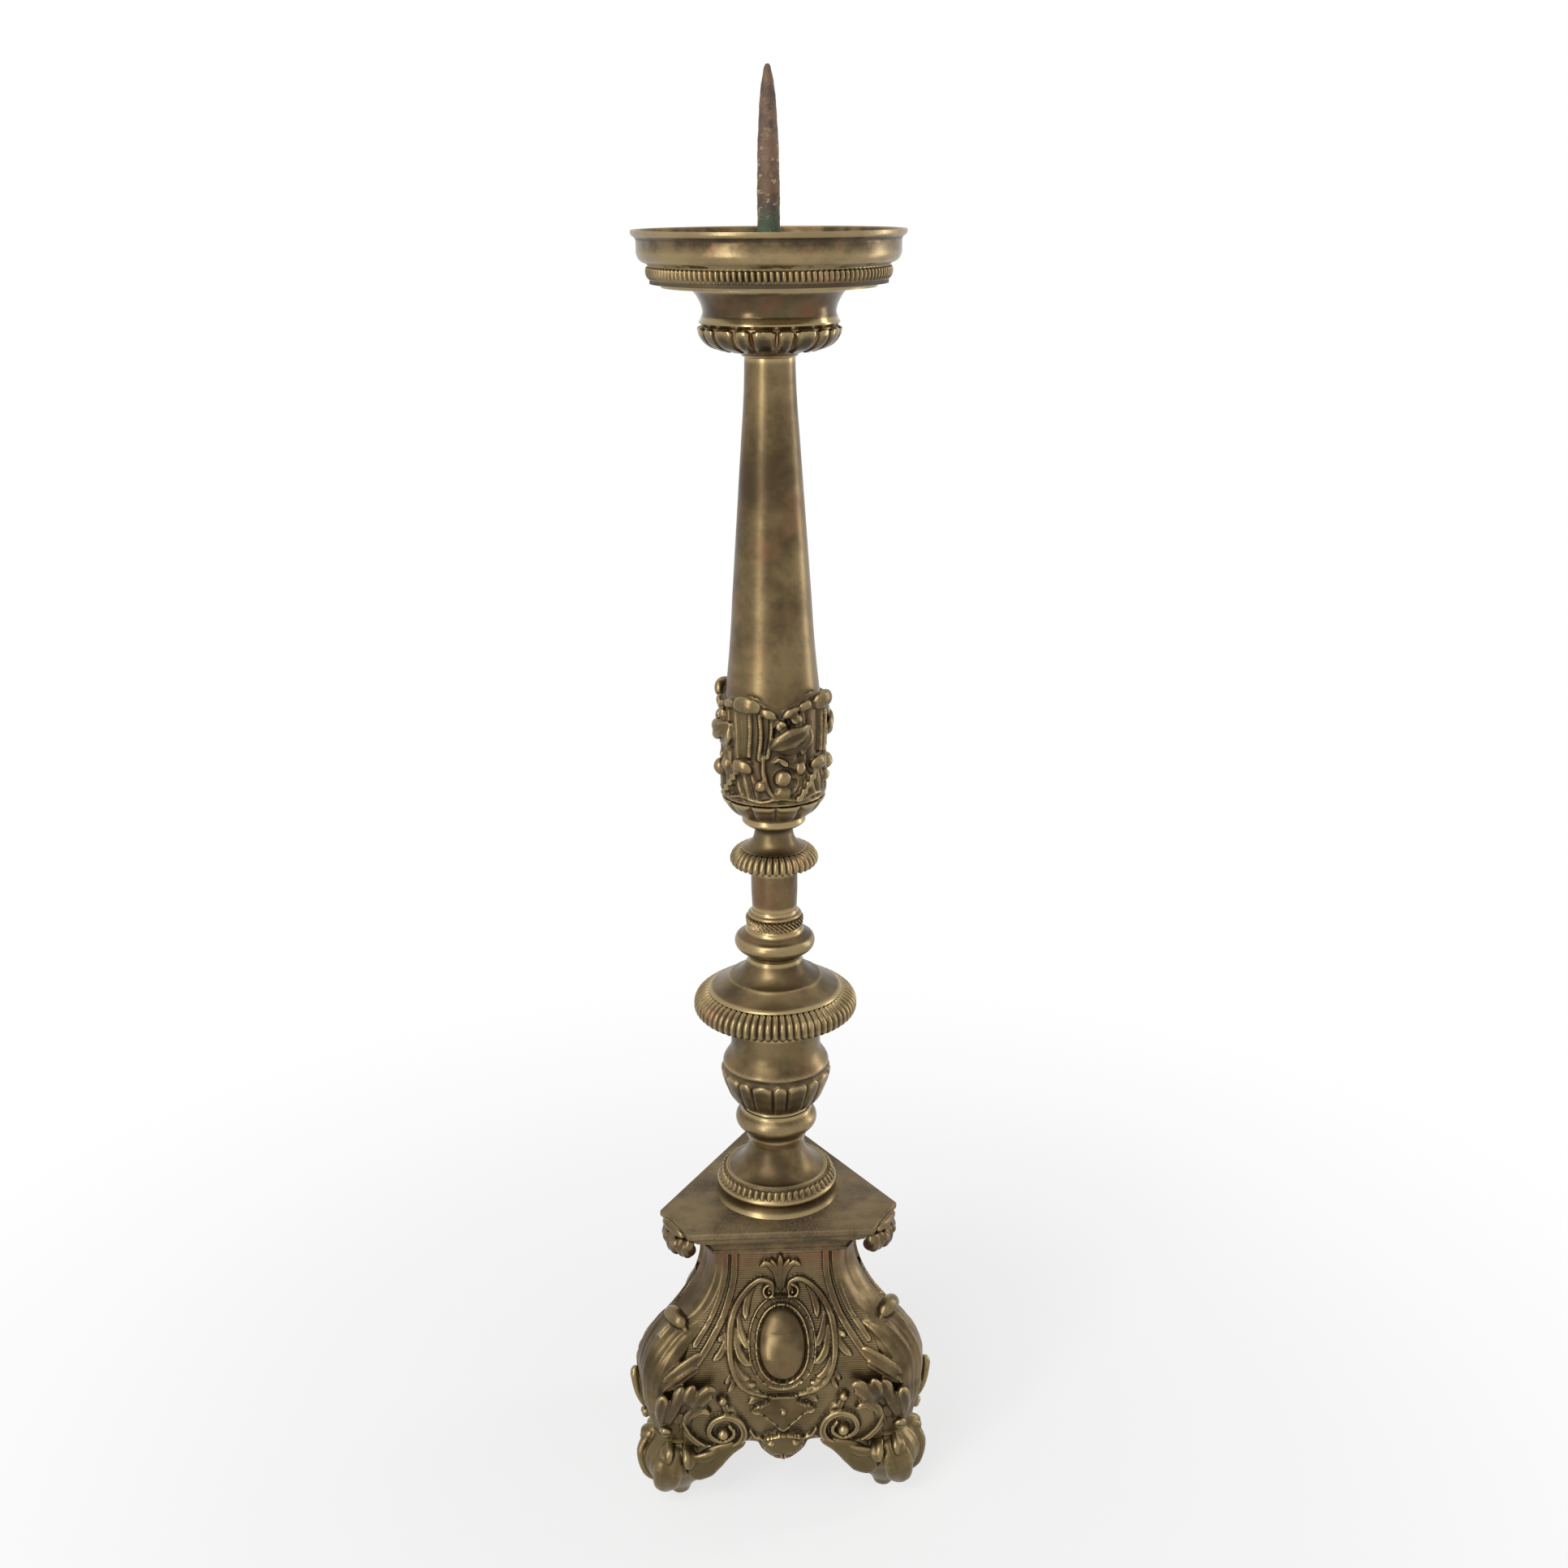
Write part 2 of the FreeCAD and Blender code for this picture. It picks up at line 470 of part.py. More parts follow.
def repeat_round(body, name, features, count):
    """Repeat features round the body's own Z axis."""
    pattern = body.newObject("PartDesign::PolarPattern", name)
    pattern.Originals = features
    pattern.Axis = (origin_part(body, "Z_Axis"), [""])
    pattern.Angle = FULL_TURN
    bind(pattern, "Occurrences", count)
    body.Tip = pattern
    return pattern


def oval(half_width, half_height):
    """Corners of a near ellipse made of eight arcs."""
    corners = []
    for step in range(OVAL_ARCS):
        turn = math.radians(FULL_TURN / OVAL_ARCS * step)
        corners.append((half_width * math.cos(turn), half_height * math.sin(turn), OVAL_BULGE))
    return corners


def leaning_sketch(body, name, corners, reach, height, lean):
    """A sketch on a plane that faces +X at a reach and height and leans back at its top."""
    sketch = new_sketch(body, name, "YZ_Plane", [])
    sketch.AttachmentOffset = Placement(Vector(0, 0, 0), Rotation(Vector(-1, 0, 0), lean.value))
    bind(sketch, ".AttachmentOffset.Rotation.Angle", lean)
    bind(sketch, ".AttachmentOffset.Base.y", height)
    bind(sketch, ".AttachmentOffset.Base.z", reach)
    draw_outline(sketch, corners)
    return sketch


def stand_at(body, height):
    bind(body, ".Placement.Base.z", height)
    standing[body.Name] = height


def above(label):
    """The height at which a piece stands on top of another."""
    return standing[label] + size(label + "_height")


def shared_outline(share_points, radius, height, hole):
    """Corners in real lengths for an outline that is given in shares."""
    return [(hole if across == HOLE else radius * across, height * up, bulge)
            for across, up, bulge in share_points]


def turned(label, share_points, hole=None, kind=None, close=()):
    """A piece turned about its own axis, in shares of its own radius and height."""
    kind = kind or label
    body = new_body(label)
    clear_hole = hole or size("rod_radius") + size("rod_play")
    corners = shared_outline(share_points, size(kind + "_radius"), size(kind + "_height"), clear_hole)
    spin(body, label, corners + list(close))
    return body


def spin(body, name, corners):
    sketch = new_sketch(body, name + "_profile", "XZ_Plane", [corners])
    feature = body.newObject("PartDesign::Revolution", name + "_turning")
    feature.Profile = sketch
    feature.ReferenceAxis = (sketch, ["V_Axis"])
    feature.Angle = FULL_TURN
    doc.recompute()
    return feature


def ring(label, radius, height, hole):
    """A flat ring about the stem's axis."""
    body = new_body(label)
    spin(body, label, [(hole, ZERO, 0), (radius, ZERO, 0), (radius, height, 0), (hole, height, 0)])
    return body


def back_run(corners):
    """The same corners the other way round, with the curves between them kept."""
    bulges = [corner[2] for corner in corners[:-1]]
    ends = zip(corners[:0:-1], bulges[::-1])
    return [(corner[0], corner[1], -bulge) for corner, bulge in ends] + [corners[0][:2] + (0,)]


def moved(corners, across, up=ZERO):
    return [(corner[0] + across, corner[1] + up, corner[2]) for corner in corners]


def mirrored(corners):
    return [(-corner[0], corner[1], -corner[2]) for corner in corners]


def outward(points, index):
    """Unit direction out of the metal at a point of an outline that runs upwards."""
    before = points[max(index - 1, 0)]
    after = points[min(index + 1, len(points) - 1)]
    across = after[0].value - before[0].value
    up = after[1].value - before[1].value
    length = math.hypot(across, up)
    return up / length, -across / length


def flute(body, share_points, depth, count, turn_share):
    """Cut one flute that follows part of the body's outline, and repeat it round."""
    corners = shared_outline(share_points, size(body.Name + "_radius"), size(body.Name + "_height"), ZERO)
    corners[-1] = corners[-1][:2] + (0,)
    outer = []
    inner = []
    for index, (across, up, bulge) in enumerate(corners):
        out_across, out_up = outward(corners, index)
        overrun = size("overrun")
        outer.append((across + overrun * out_across, up + overrun * out_up, bulge))
        inner.append((across - depth * out_across, up - depth * out_up, bulge))
    band = new_sketch(body, body.Name + "_flute_profile", "XZ_Plane", [outer + back_run(inner)])
    before = body.Shape.Volume
    groove = body.newObject("PartDesign::Groove", body.Name + "_flute")
    groove.Profile = band
    groove.ReferenceAxis = (band, ["V_Axis"])
    groove.Midplane = True
    groove.setExpression("Angle", "%s / %s * %s" % (FULL_TURN, count.text, turn_share))
    doc.recompute()
    if body.Shape.Volume >= before:
        raise RuntimeError(body.Name + " flute cuts nothing")
    repeat_round(body, body.Name + "_flutes", [groove], count)


def three_sided(reach, half_side):
    """Corners of a triangle with its tips cut off: three long sides and three short ones."""
    corners = []
    for side in range(SIDES):
        turn = math.radians(side * SIDE_TURN)
        for end in (-1.0, 1.0):
            across = half_side * (end * math.cos(turn)) + reach * math.sin(turn)
            up = half_side * (end * math.sin(turn)) - reach * math.cos(turn)
            corners.append((across, up, 0))
    return corners


def circle_sketch(body, name, radius, place, lift=None):
    """A level sketch with one circle round a place."""
    sketch = new_sketch(body, name, "XY_Plane", [], lift)
    centre = Vector(place[0].value, place[1].value, 0)
    circle = sketch.addGeometry(Part.Circle(centre, Vector(0, 0, 1), radius.value), False)
    tie_point(sketch, circle, 3, place[0], place[1])
    number = sketch.addConstraint(Sketcher.Constraint("Radius", circle, radius.value))
    sketch.setExpression("Constraints[%d]" % number, radius.text)
    return sketch


def hole_up(body, name, radius, length, place=(ZERO, ZERO), lift=None):
    """Drill a round hole upwards into the body."""
    sketch = circle_sketch(body, name + "_circle", radius, place, lift)
    return pocket(body, name, sketch, length, reverse=True)


def trim_sides(body, name, widths, beyond, depth):
    """Cut away what lies outside the half widths of a piece that looks along +X."""
    overrun = size("overrun")
    low = (widths[0][0], widths[0][1] - overrun, 0)
    high = (widths[-1][0], widths[-1][1] + overrun, 0)
    outside = [low] + widths[:-1] + [widths[-1][:2] + (0,), high]
    outside += [(beyond, high[1], 0), (beyond, low[1], 0)]
    sketch = new_sketch(body, name + "_outline", "YZ_Plane", [outside, mirrored(outside)])
    return pocket(body, name, sketch, depth, both_ways=True)


def upright(start, end, height, share_points, lift=ZERO):
    """Corners at shares of the way between two lengths and of a height."""
    return [(span(start, end, share), height * up + lift, bulge) for share, up, bulge in share_points]


def half_outline(share_points, half_width, height, foot):
    """A closed symmetric outline from the shares of its right half, read from below."""
    right = [(half_width * across, foot + height * up, 0) for across, up in share_points]
    return right + mirrored(right)[::-1]


def cylinder(name, radius, height, place):
    feature = doc.addObject("Part::Cylinder", name)
    bind(feature, "Radius", radius)
    bind(feature, "Height", height)
    for letter, length in zip("xyz", place):
        bind(feature, ".Placement.Base." + letter, length)
    return feature


def at_bearing(reach, bearing):
    """Place across and along the floor at a distance from the axis in a direction."""
    turn = math.radians(bearing)
    return reach * math.cos(turn), reach * math.sin(turn)


def turn_body(body, bearing):
    body.Placement = Placement(Vector(0, 0, 0), Rotation(Vector(0, 0, 1), bearing))


# Feet: turned buns under the legs, each held by a screw from below.
leg_bearings = [LEG_BEARING + number * SIDE_TURN for number in range(SIDES)]
panel_bearings = [bearing - SIDE_TURN / 2.0 for bearing in leg_bearings]
recess = size("foot_screw_recess")
recess_radius = size("foot_screw_head_radius") + size("screw_play")
foot_hole = size("foot_screw_radius") + size("screw_play")
screw_parts = []
for number, bearing in enumerate(leg_bearings, start=1):
    recess_corners = [(foot_hole, recess, 0), (recess_radius, recess, 0), (recess_radius, ZERO, 0)]
    foot = turned("foot_%d" % number, FOOT_SHARE, foot_hole, "foot", recess_corners)
    across, along = at_bearing(size("foot_reach"), bearing)
    bind(foot, ".Placement.Base.x", across)
    bind(foot, ".Placement.Base.y", along)
    head_low = recess - size("foot_screw_head_height")
    screw_parts.append(cylinder("foot_screw_head_%d" % number, size("foot_screw_head_radius"),
                                size("foot_screw_head_height"), (across, along, head_low)))
    screw_parts.append(cylinder("foot_screw_shank_%d" % number, size("foot_screw_radius"),
                                size("foot_screw_length"), (across, along, recess)))
foot_screws = doc.addObject("Part::MultiFuse", "foot_screws")
foot_screws.Shapes = screw_parts
pieces.append(foot_screws)

# Legs: hollow scrolls behind, with a solid block at the foot and at the top.
leg_top = size("leg_top_reach")
leg_belly = size("leg_belly_reach")
leg_height = size("leg_height")
leg_wall = size("leg_wall")
leg_widths = upright(size("leg_top_half_width"), size("leg_belly_half_width"), leg_height, LEG_WIDTH_SHARE)
lug_low = leg_height - size("leg_lug_depth")
hollow_top = leg_height * HOLLOW_TOP_SHARE
for number, bearing in enumerate(leg_bearings, start=1):
    leg = new_body("leg_%d" % number)
    face = upright(leg_top, leg_belly, leg_height, LEAF_FACE_SHARE + BARE_FACE_SHARE)
    back = [(size("leg_back_reach"), leg_height, 0), (size("leg_back_reach"), lug_low, 0),
            (size("leg_foot_back_reach"), ZERO, 0)]
    section = new_sketch(leg, leg.Name + "_section", "XZ_Plane", [face + back])
    pad(leg, leg.Name + "_block", section, size("leg_belly_half_width") * 2.0, both_ways=True)
    trim_sides(leg, leg.Name + "_sides", leg_widths, size("leg_belly_half_width") + size("overrun"),
               leg_belly * 3.0)
    open_back = size("leg_back_reach") - size("overrun")
    upper = [(open_back, hollow_top, 0), (span(leg_top, leg_belly, 0.3) - leg_wall, hollow_top, 0),
             (span(leg_top, leg_belly, 0.12) - leg_wall, leg_height * 0.78, 0),
             (leg_top - leg_wall, lug_low, 0), (open_back, lug_low, 0)]
    sketch = new_sketch(leg, leg.Name + "_upper_hollow_section", "XZ_Plane", [upper])
    pocket(leg, leg.Name + "_upper_hollow", sketch, (size("leg_top_half_width") - leg_wall) * 2.0,
           both_ways=True)
    lower = upright(leg_top, leg_belly, leg_height, HOLLOW_FACE_SHARE)
    lower = [(open_back, size("leg_base_depth"), 0), (lower[0][0], size("leg_base_depth"), 0)] + lower[1:]
    lower = lower + [(lower[-1][0], hollow_top, 0), (open_back, hollow_top, 0)]
    sketch = new_sketch(leg, leg.Name + "_lower_hollow_section", "XZ_Plane", [lower])
    pocket(leg, leg.Name + "_lower_hollow", sketch, size("leg_hollow_half_width") * 2.0, both_ways=True)
    hole_up(leg, leg.Name + "_foot_hole", foot_hole,
            size("foot_screw_length") + recess - size("foot_height") + size("screw_play"),
            (size("foot_reach"), ZERO))
    hole_up(leg, leg.Name + "_lug_hole", size("bridge_screw_radius") + size("screw_play"),
            size("bridge_screw_length") - size("bridge_thickness") + size("screw_play"),
            (size("bridge_screw_reach"), ZERO), lug_low)
    curl = oval(size("leaf_curl_radius"), size("leaf_curl_radius"))
    curl = moved(curl, span(leg_top, leg_belly, CURL_REACH_SHARE), leg_height * CURL_HEIGHT_SHARE)
    sketch = new_sketch(leg, leg.Name + "_leaf_curl_section", "XZ_Plane", [curl])
    pad(leg, leg.Name + "_leaf_curl", sketch, size("leaf_curl_half_width") * 2.0, both_ways=True)
    turn_body(leg, bearing)
    stand_at(leg, size("foot_height"))

# Panels: thin cast plates between the legs, with relief on the outside.
panel_foot = size("panel_foot")
base_top = size("foot_height") + leg_height
panel_height = base_top - panel_foot
panel_top = size("panel_top_reach")
panel_belly = size("panel_belly_reach")
panel_wall = size("panel_wall")


def face_reach(share):
    return span(panel_top, panel_belly, share)


def relief(body, name, corners, plane, rise):
    """A flat ornament that stands out from the panel's face."""
    sketch = new_sketch(body, name + "_outline", "YZ_Plane", [corners], plane - panel_wall * 0.9)
    return pad(body, name, sketch, rise + panel_wall * 0.9)


def knob(body, name, radius, across, up, plane, rise):
    """A round ornament that stands out from the panel's face."""
    sketch = new_sketch(body, name + "_circle", "YZ_Plane", [], plane - panel_wall * 0.9)
    centre = Vector(across.value, up.value, 0)
    circle = sketch.addGeometry(Part.Circle(centre, Vector(0, 0, 1), radius.value), False)
    tie_point(sketch, circle, 3, across, up)
    number = sketch.addConstraint(Sketcher.Constraint("Radius", circle, radius.value))
    sketch.setExpression("Constraints[%d]" % number, radius.text)
    return pad(body, name, sketch, rise + panel_wall * 0.9)


for number, bearing in enumerate(panel_bearings, start=1):
    panel = new_body("base_panel_%d" % number)
    outer = upright(panel_top, panel_belly, panel_height, PANEL_FACE_SHARE, panel_foot)
    inner = back_run(moved(outer, -panel_wall))
    section = new_sketch(panel, panel.Name + "_section", "XZ_Plane", [outer + inner])
    pad(panel, panel.Name + "_plate", section, size("panel_belly_half_width") * 2.0, both_ways=True)
    drop = size("pendant_drop")
    pendant = half_outline(PENDANT_SHARE[::-1], size("pendant_half_width"), drop + panel_wall,
                           panel_foot - drop)
    relief(panel, panel.Name + "_pendant", pendant, face_reach(PENDANT_REACH_SHARE), panel_wall * 0.4)
    shield = half_outline(SHIELD_SHARE, size("shield_half_width"), size("shield_height"),
                          size("shield_foot"))
    relief(panel, panel.Name + "_shield", shield, face_reach(SHIELD_REACH_SHARE), size("shield_rise"))
    palmette = half_outline(PALMETTE_SHARE, size("palmette_half_width"), size("palmette_height"),
                            size("palmette_foot"))
    relief(panel, panel.Name + "_palmette", palmette, face_reach(0.0), size("palmette_rise"))
    for side in (-1.0, 1.0):
        name = "%s_volute_%s" % (panel.Name, "left" if side > 0 else "right")
        across = size("volute_offset") * side
        up = size("volute_height")
        knob(panel, name, size("volute_radius"), across, up, face_reach(VOLUTE_REACH_SHARE),
             size("volute_rise"))
        knob(panel, name + "_eye", size("volute_eye_radius"), across, up, face_reach(VOLUTE_REACH_SHARE),
             size("volute_eye_rise"))
    for side in (-1.0, 1.0):
        gap = size("fit_gap")
        edge = [(-(across + gap), up + size("foot_height"), -bulge) for across, up, bulge in leg_widths]
        low = panel_foot - size("overrun")
        high = base_top + size("overrun")
        edge = [(edge[0][0], low, 0)] + edge[:-1] + [edge[-1][:2] + (0,), (edge[-1][0], high, 0)]
        room = edge + [(panel_belly, high, 0), (panel_belly, low, 0)]
        if side < 0:
            room = mirrored(room)
        name = "%s_edge_%s" % (panel.Name, "left" if side > 0 else "right")
        sketch = new_sketch(panel, name + "_outline", "YZ_Plane", [room], turn=side * SIDE_TURN / 2.0)
        pocket(panel, name, sketch, leg_belly, reverse=True)
    margin = size("frame_margin")
    boss_seat = face_reach(BOSS_REACH_SHARE) - panel_wall * 0.8
    frame = oval(size("boss_half_width") + margin, size("boss_half_height") + margin)
    frame_sketch = leaning_sketch(panel, panel.Name + "_frame_outline", frame, boss_seat,
                                  size("boss_centre_height"), size("boss_lean"))
    pad(panel, panel.Name + "_frame", frame_sketch, size("frame_rise") + panel_wall * 0.8)
    domes = []
    for index, (share, rise) in enumerate(BOSS_DOME_SHARE):
        ring_corners = oval(size("boss_half_width") * share, size("boss_half_height") * share)
        reach = boss_seat + size("boss_rise") * rise
        domes.append(leaning_sketch(panel, "%s_boss_step_%d" % (panel.Name, index), ring_corners, reach,
                                    size("boss_centre_height"), size("boss_lean")))
    dome = panel.newObject("PartDesign::AdditiveLoft", panel.Name + "_boss")
    dome.Profile = domes[0]
    dome.Sections = domes[1:]
    dome.Ruled = True
    turn_body(panel, bearing)

# Cornice: a hollow moulding on the legs and panels, under the base plate.
cornice = new_body("cornice")
cornice_top_reach = size("cornice_top_reach")
cornice_top_half = size("cornice_top_half_side")
steps = []
for index, (share, up) in enumerate(CORNICE_STEPS_SHARE):
    reach = span(panel_top, cornice_top_reach, share)
    half = span(size("panel_top_half_width"), cornice_top_half, share)
    lift = size("cornice_height") * up if up else None
    outline = three_sided(reach, half)
    steps.append(new_sketch(cornice, "cornice_step_%d" % index, "XY_Plane", [outline], lift))
moulding = cornice.newObject("PartDesign::AdditiveLoft", "cornice_moulding")
moulding.Profile = steps[0]
moulding.Sections = steps[1:]
moulding.Ruled = True
inner = three_sided(size("cornice_hole_reach"), size("cornice_hole_half_side"))
cornice_hole = new_sketch(cornice, "cornice_hole_outline", "XY_Plane", [inner])
pocket(cornice, "cornice_hole", cornice_hole, size("cornice_height"), reverse=True)
stand_at(cornice, base_top)

# Base plate over the cornice.
plate = new_body("base_plate")
plate_low = base_top + size("cornice_height")
plate_outline = new_sketch(plate, "base_plate_outline", "XY_Plane",
                           [three_sided(size("plate_reach"), size("plate_half_side"))])
pad(plate, "base_plate_slab", plate_outline, size("plate_thickness") - size("plate_bevel"))
bevel_reach = size("plate_reach") - size("plate_bevel")
bevel_half = size("plate_half_side") - size("plate_bevel")
bevel_low = new_sketch(plate, "base_plate_bevel_foot", "XY_Plane",
                       [three_sided(size("plate_reach"), size("plate_half_side"))],
                       size("plate_thickness") - size("plate_bevel"))
bevel_high = new_sketch(plate, "base_plate_bevel_head", "XY_Plane", [three_sided(bevel_reach, bevel_half)],
                        size("plate_thickness"))
bevel = plate.newObject("PartDesign::AdditiveLoft", "base_plate_bevel")
bevel.Profile = bevel_low
bevel.Sections = [bevel_high]
bevel.Ruled = True
rod_hole = size("rod_radius") + size("rod_play")
hole_up(plate, "base_plate_rod_hole", rod_hole, size("plate_thickness"))
stand_at(plate, plate_low)

# Corner clasps: leaves under the plate's corners, in front of the cornice's corners.
clasp_height = size("clasp_height")
half_cosine = math.cos(math.radians(SIDE_TURN / 2.0))
half_sine = math.sin(math.radians(SIDE_TURN / 2.0))
for number, bearing in enumerate(leg_bearings, start=1):
    clasp = new_body("corner_clasp_%d" % number)
    gap = size("fit_gap")
    front = upright(leg_top + gap, size("clasp_reach"), clasp_height, CLASP_SHARE)
    back = []
    for share, up in CORNICE_STEPS_SHARE[::-1]:
        reach = span(panel_top, cornice_top_reach, share)
        half = span(size("panel_top_half_width"), cornice_top_half, share)
        corner = reach * half_cosine + half * half_sine
        back.append((corner + gap, clasp_height - size("cornice_height") * (1.0 - up), 0))
    section = new_sketch(clasp, clasp.Name + "_section", "XZ_Plane", [front + back])
    pad(clasp, clasp.Name + "_block", section, size("clasp_half_width") * 2.0, both_ways=True)
    widths = [(size("clasp_half_width") * across, clasp_height * up, bulge)
              for across, up, bulge in CLASP_WIDTH_SHARE]
    trim_sides(clasp, clasp.Name + "_sides", widths, size("clasp_half_width") + size("overrun"),
               size("clasp_reach") * 3.0)
    turn_body(clasp, bearing)
    stand_at(clasp, plate_low - clasp_height)

# Bridge under the legs' top blocks, with its screws, the rod's washer and nut.
bridge = new_body("base_bridge")
bridge_thickness = size("bridge_thickness")
bridge_low = base_top - size("leg_lug_depth") - bridge_thickness
hub = circle_sketch(bridge, "base_bridge_hub_circle", size("bridge_hub_radius"), (ZERO, ZERO))
pad(bridge, "base_bridge_hub", hub, bridge_thickness)
arm_half = size("bridge_arm_half_width")
arm_reach = size("bridge_arm_reach")
arm_outline = [(ZERO, -arm_half, 0), (arm_reach, -arm_half, 0),
               (arm_reach, arm_half, 0), (ZERO, arm_half, 0)]
arm_sketch = new_sketch(bridge, "base_bridge_arm_outline", "XY_Plane", [arm_outline])
arm = pad(bridge, "base_bridge_arm", arm_sketch, bridge_thickness)
repeat_round(bridge, "base_bridge_arms", [arm], Size(SIDES, str(SIDES)))
hole_up(bridge, "base_bridge_rod_hole", rod_hole, bridge_thickness)
arm_hole = hole_up(bridge, "base_bridge_arm_hole", size("bridge_screw_radius") + size("screw_play"),
                   bridge_thickness, (size("bridge_screw_reach"), ZERO))
repeat_round(bridge, "base_bridge_arm_holes", [arm_hole], Size(SIDES, str(SIDES)))
turn_body(bridge, LEG_BEARING)
stand_at(bridge, bridge_low)

screw_parts = []
for number, bearing in enumerate(leg_bearings, start=1):
    across, along = at_bearing(size("bridge_screw_reach"), bearing)
    head_low = bridge_low - size("bridge_screw_head_height")
    screw_parts.append(cylinder("bridge_screw_head_%d" % number, size("bridge_screw_head_radius"),
                                size("bridge_screw_head_height"), (across, along, head_low)))
    screw_parts.append(cylinder("bridge_screw_shank_%d" % number, size("bridge_screw_radius"),
                                size("bridge_screw_length"), (across, along, bridge_low)))
bridge_screws = doc.addObject("Part::MultiFuse", "bridge_screws")
bridge_screws.Shapes = screw_parts
pieces.append(bridge_screws)

washer_low = bridge_low - size("washer_thickness")
stand_at(ring("tie_washer", size("washer_radius"), size("washer_thickness"), rod_hole), washer_low)
nut = new_body("tie_nut")
nut_corners = []
for corner in range(NUT_SIDES):
    turn = math.radians(FULL_TURN / NUT_SIDES * (corner + 0.5))
    reach = size("nut_half_flats") * (1.0 / math.cos(math.pi / NUT_SIDES))
    nut_corners.append((reach * math.cos(turn), reach * math.sin(turn), 0))
nut_sketch = new_sketch(nut, "tie_nut_outline", "XY_Plane", [nut_corners])
pad(nut, "tie_nut_block", nut_sketch, size("nut_height"))
thread_hole = size("rod_radius") + size("thread_play")
hole_up(nut, "tie_nut_thread", thread_hole, size("nut_height"))
nut_low = washer_low - size("nut_height")
stand_at(nut, nut_low)

# Stem: hollow turned pieces, each standing on the one below.
plate_top = plate_low + size("plate_thickness")
stand_at(turned("bell_foot", BELL_FOOT_SHARE), plate_top)
bead_back = size("bell_foot_radius") * BEAD_BACK_SHARE + size("fit_gap")
bead_ring = turned("foot_bead_ring", FOOT_BEAD_RING_SHARE,
                   close=[(bead_back, size("foot_bead_ring_height"), 0), (bead_back, ZERO, 0)])
flute(bead_ring, FOOT_BEAD_RING_SHARE, size("gadroon_depth"), size("foot_bead_count"), GADROON_TURN_SHARE)
stand_at(bead_ring, plate_top + size("bell_foot_height") * BEAD_SEAT_SHARE)
boss_hole = size("spike_boss_radius") + size("rod_play")
lobe_depth = size("lobe_depth")
gadroon_depth = size("gadroon_depth")
below = "bell_foot"
for label, share_points, hole in (
        ("lower_torus", LOWER_TORUS_SHARE, None), ("urn_bowl", URN_BOWL_SHARE, None),
        ("urn_neck", URN_NECK_SHARE, None), ("knop_rim", KNOP_RIM_SHARE, None),
        ("knop_dome", KNOP_DOME_SHARE, None), ("torus_ring", TORUS_RING_SHARE, None),
        ("rope_ring", ROPE_RING_SHARE, None), ("stem_collar", STEM_COLLAR_SHARE, None),
        ("upper_disc", UPPER_DISC_SHARE, None), ("upper_neck", UPPER_NECK_SHARE, None),
        ("leaf_calyx", LEAF_CALYX_SHARE, None), ("shaft_tube", SHAFT_TUBE_SHARE, None),
        ("capital_bowl", CAPITAL_BOWL_SHARE, boss_hole), ("capital_neck", CAPITAL_NECK_SHARE, boss_hole)):
    stand_at(turned(label, share_points, hole), above(below))
    doc.recompute()
    below = label
for label, share_points, depth, count, turn_share in (
        ("urn_bowl", URN_BOWL_SHARE[1:4], lobe_depth, "urn_lobe_count", LOBE_TURN_SHARE),
        ("knop_rim", KNOP_RIM_SHARE[1:5], gadroon_depth, "knop_rim_count", GADROON_TURN_SHARE),
        ("upper_disc", UPPER_DISC_SHARE[1:4], gadroon_depth, "upper_disc_count", GADROON_TURN_SHARE),
        ("leaf_calyx", LEAF_CALYX_SHARE[1:4], gadroon_depth, "calyx_leaf_count", LOBE_TURN_SHARE),
        ("capital_bowl", CAPITAL_BOWL_SHARE[1:4], lobe_depth, "capital_lobe_count", LOBE_TURN_SHARE)):
    flute(doc.getObject(label), share_points, depth, size(count), turn_share)

# Leaf sleeve round the foot of the shaft: a band with four tall leaves.
sleeve_inside = size("shaft_tube_radius") + size("fit_gap")
sleeve_height = size("leaf_sleeve_height")
sleeve = turned("leaf_sleeve", LEAF_SLEEVE_SHARE,
                close=[(sleeve_inside, sleeve_height, 0), (sleeve_inside, ZERO, 0)])
gap_half = size("sleeve_gap_half_width")
gap_top = sleeve_height + size("overrun")
gap_outline = [(ZERO, sleeve_height - size("sleeve_gap_depth"), 0), (gap_half, gap_top, 0),
               (-gap_half, gap_top, 0)]
gap_sketch = new_sketch(sleeve, "leaf_sleeve_gap_outline", "YZ_Plane", [gap_outline],
                        turn=FULL_TURN / 8.0)
sleeve_gap = pocket(sleeve, "leaf_sleeve_gap", gap_sketch, size("leaf_sleeve_radius") * 2.0, reverse=True)
repeat_round(sleeve, "leaf_sleeve_gaps", [sleeve_gap], size("sleeve_leaf_count"))
tip_rise = size("tip_curl_rise")
tip_outline = moved(oval(tip_rise, size("tip_curl_radius")), sleeve_inside + tip_rise + size("fit_gap"),
                    sleeve_height - size("tip_curl_radius"))
tip_sketch = new_sketch(sleeve, "leaf_sleeve_tip_section", "XZ_Plane", [tip_outline])
tip = pad(sleeve, "leaf_sleeve_tip", tip_sketch, size("tip_curl_half_width") * 2.0, both_ways=True)
repeat_round(sleeve, "leaf_sleeve_tips", [tip], size("sleeve_leaf_count"))
turn_body(sleeve, LEAF_TURN)
stand_at(sleeve, above("leaf_calyx"))
doc.recompute()

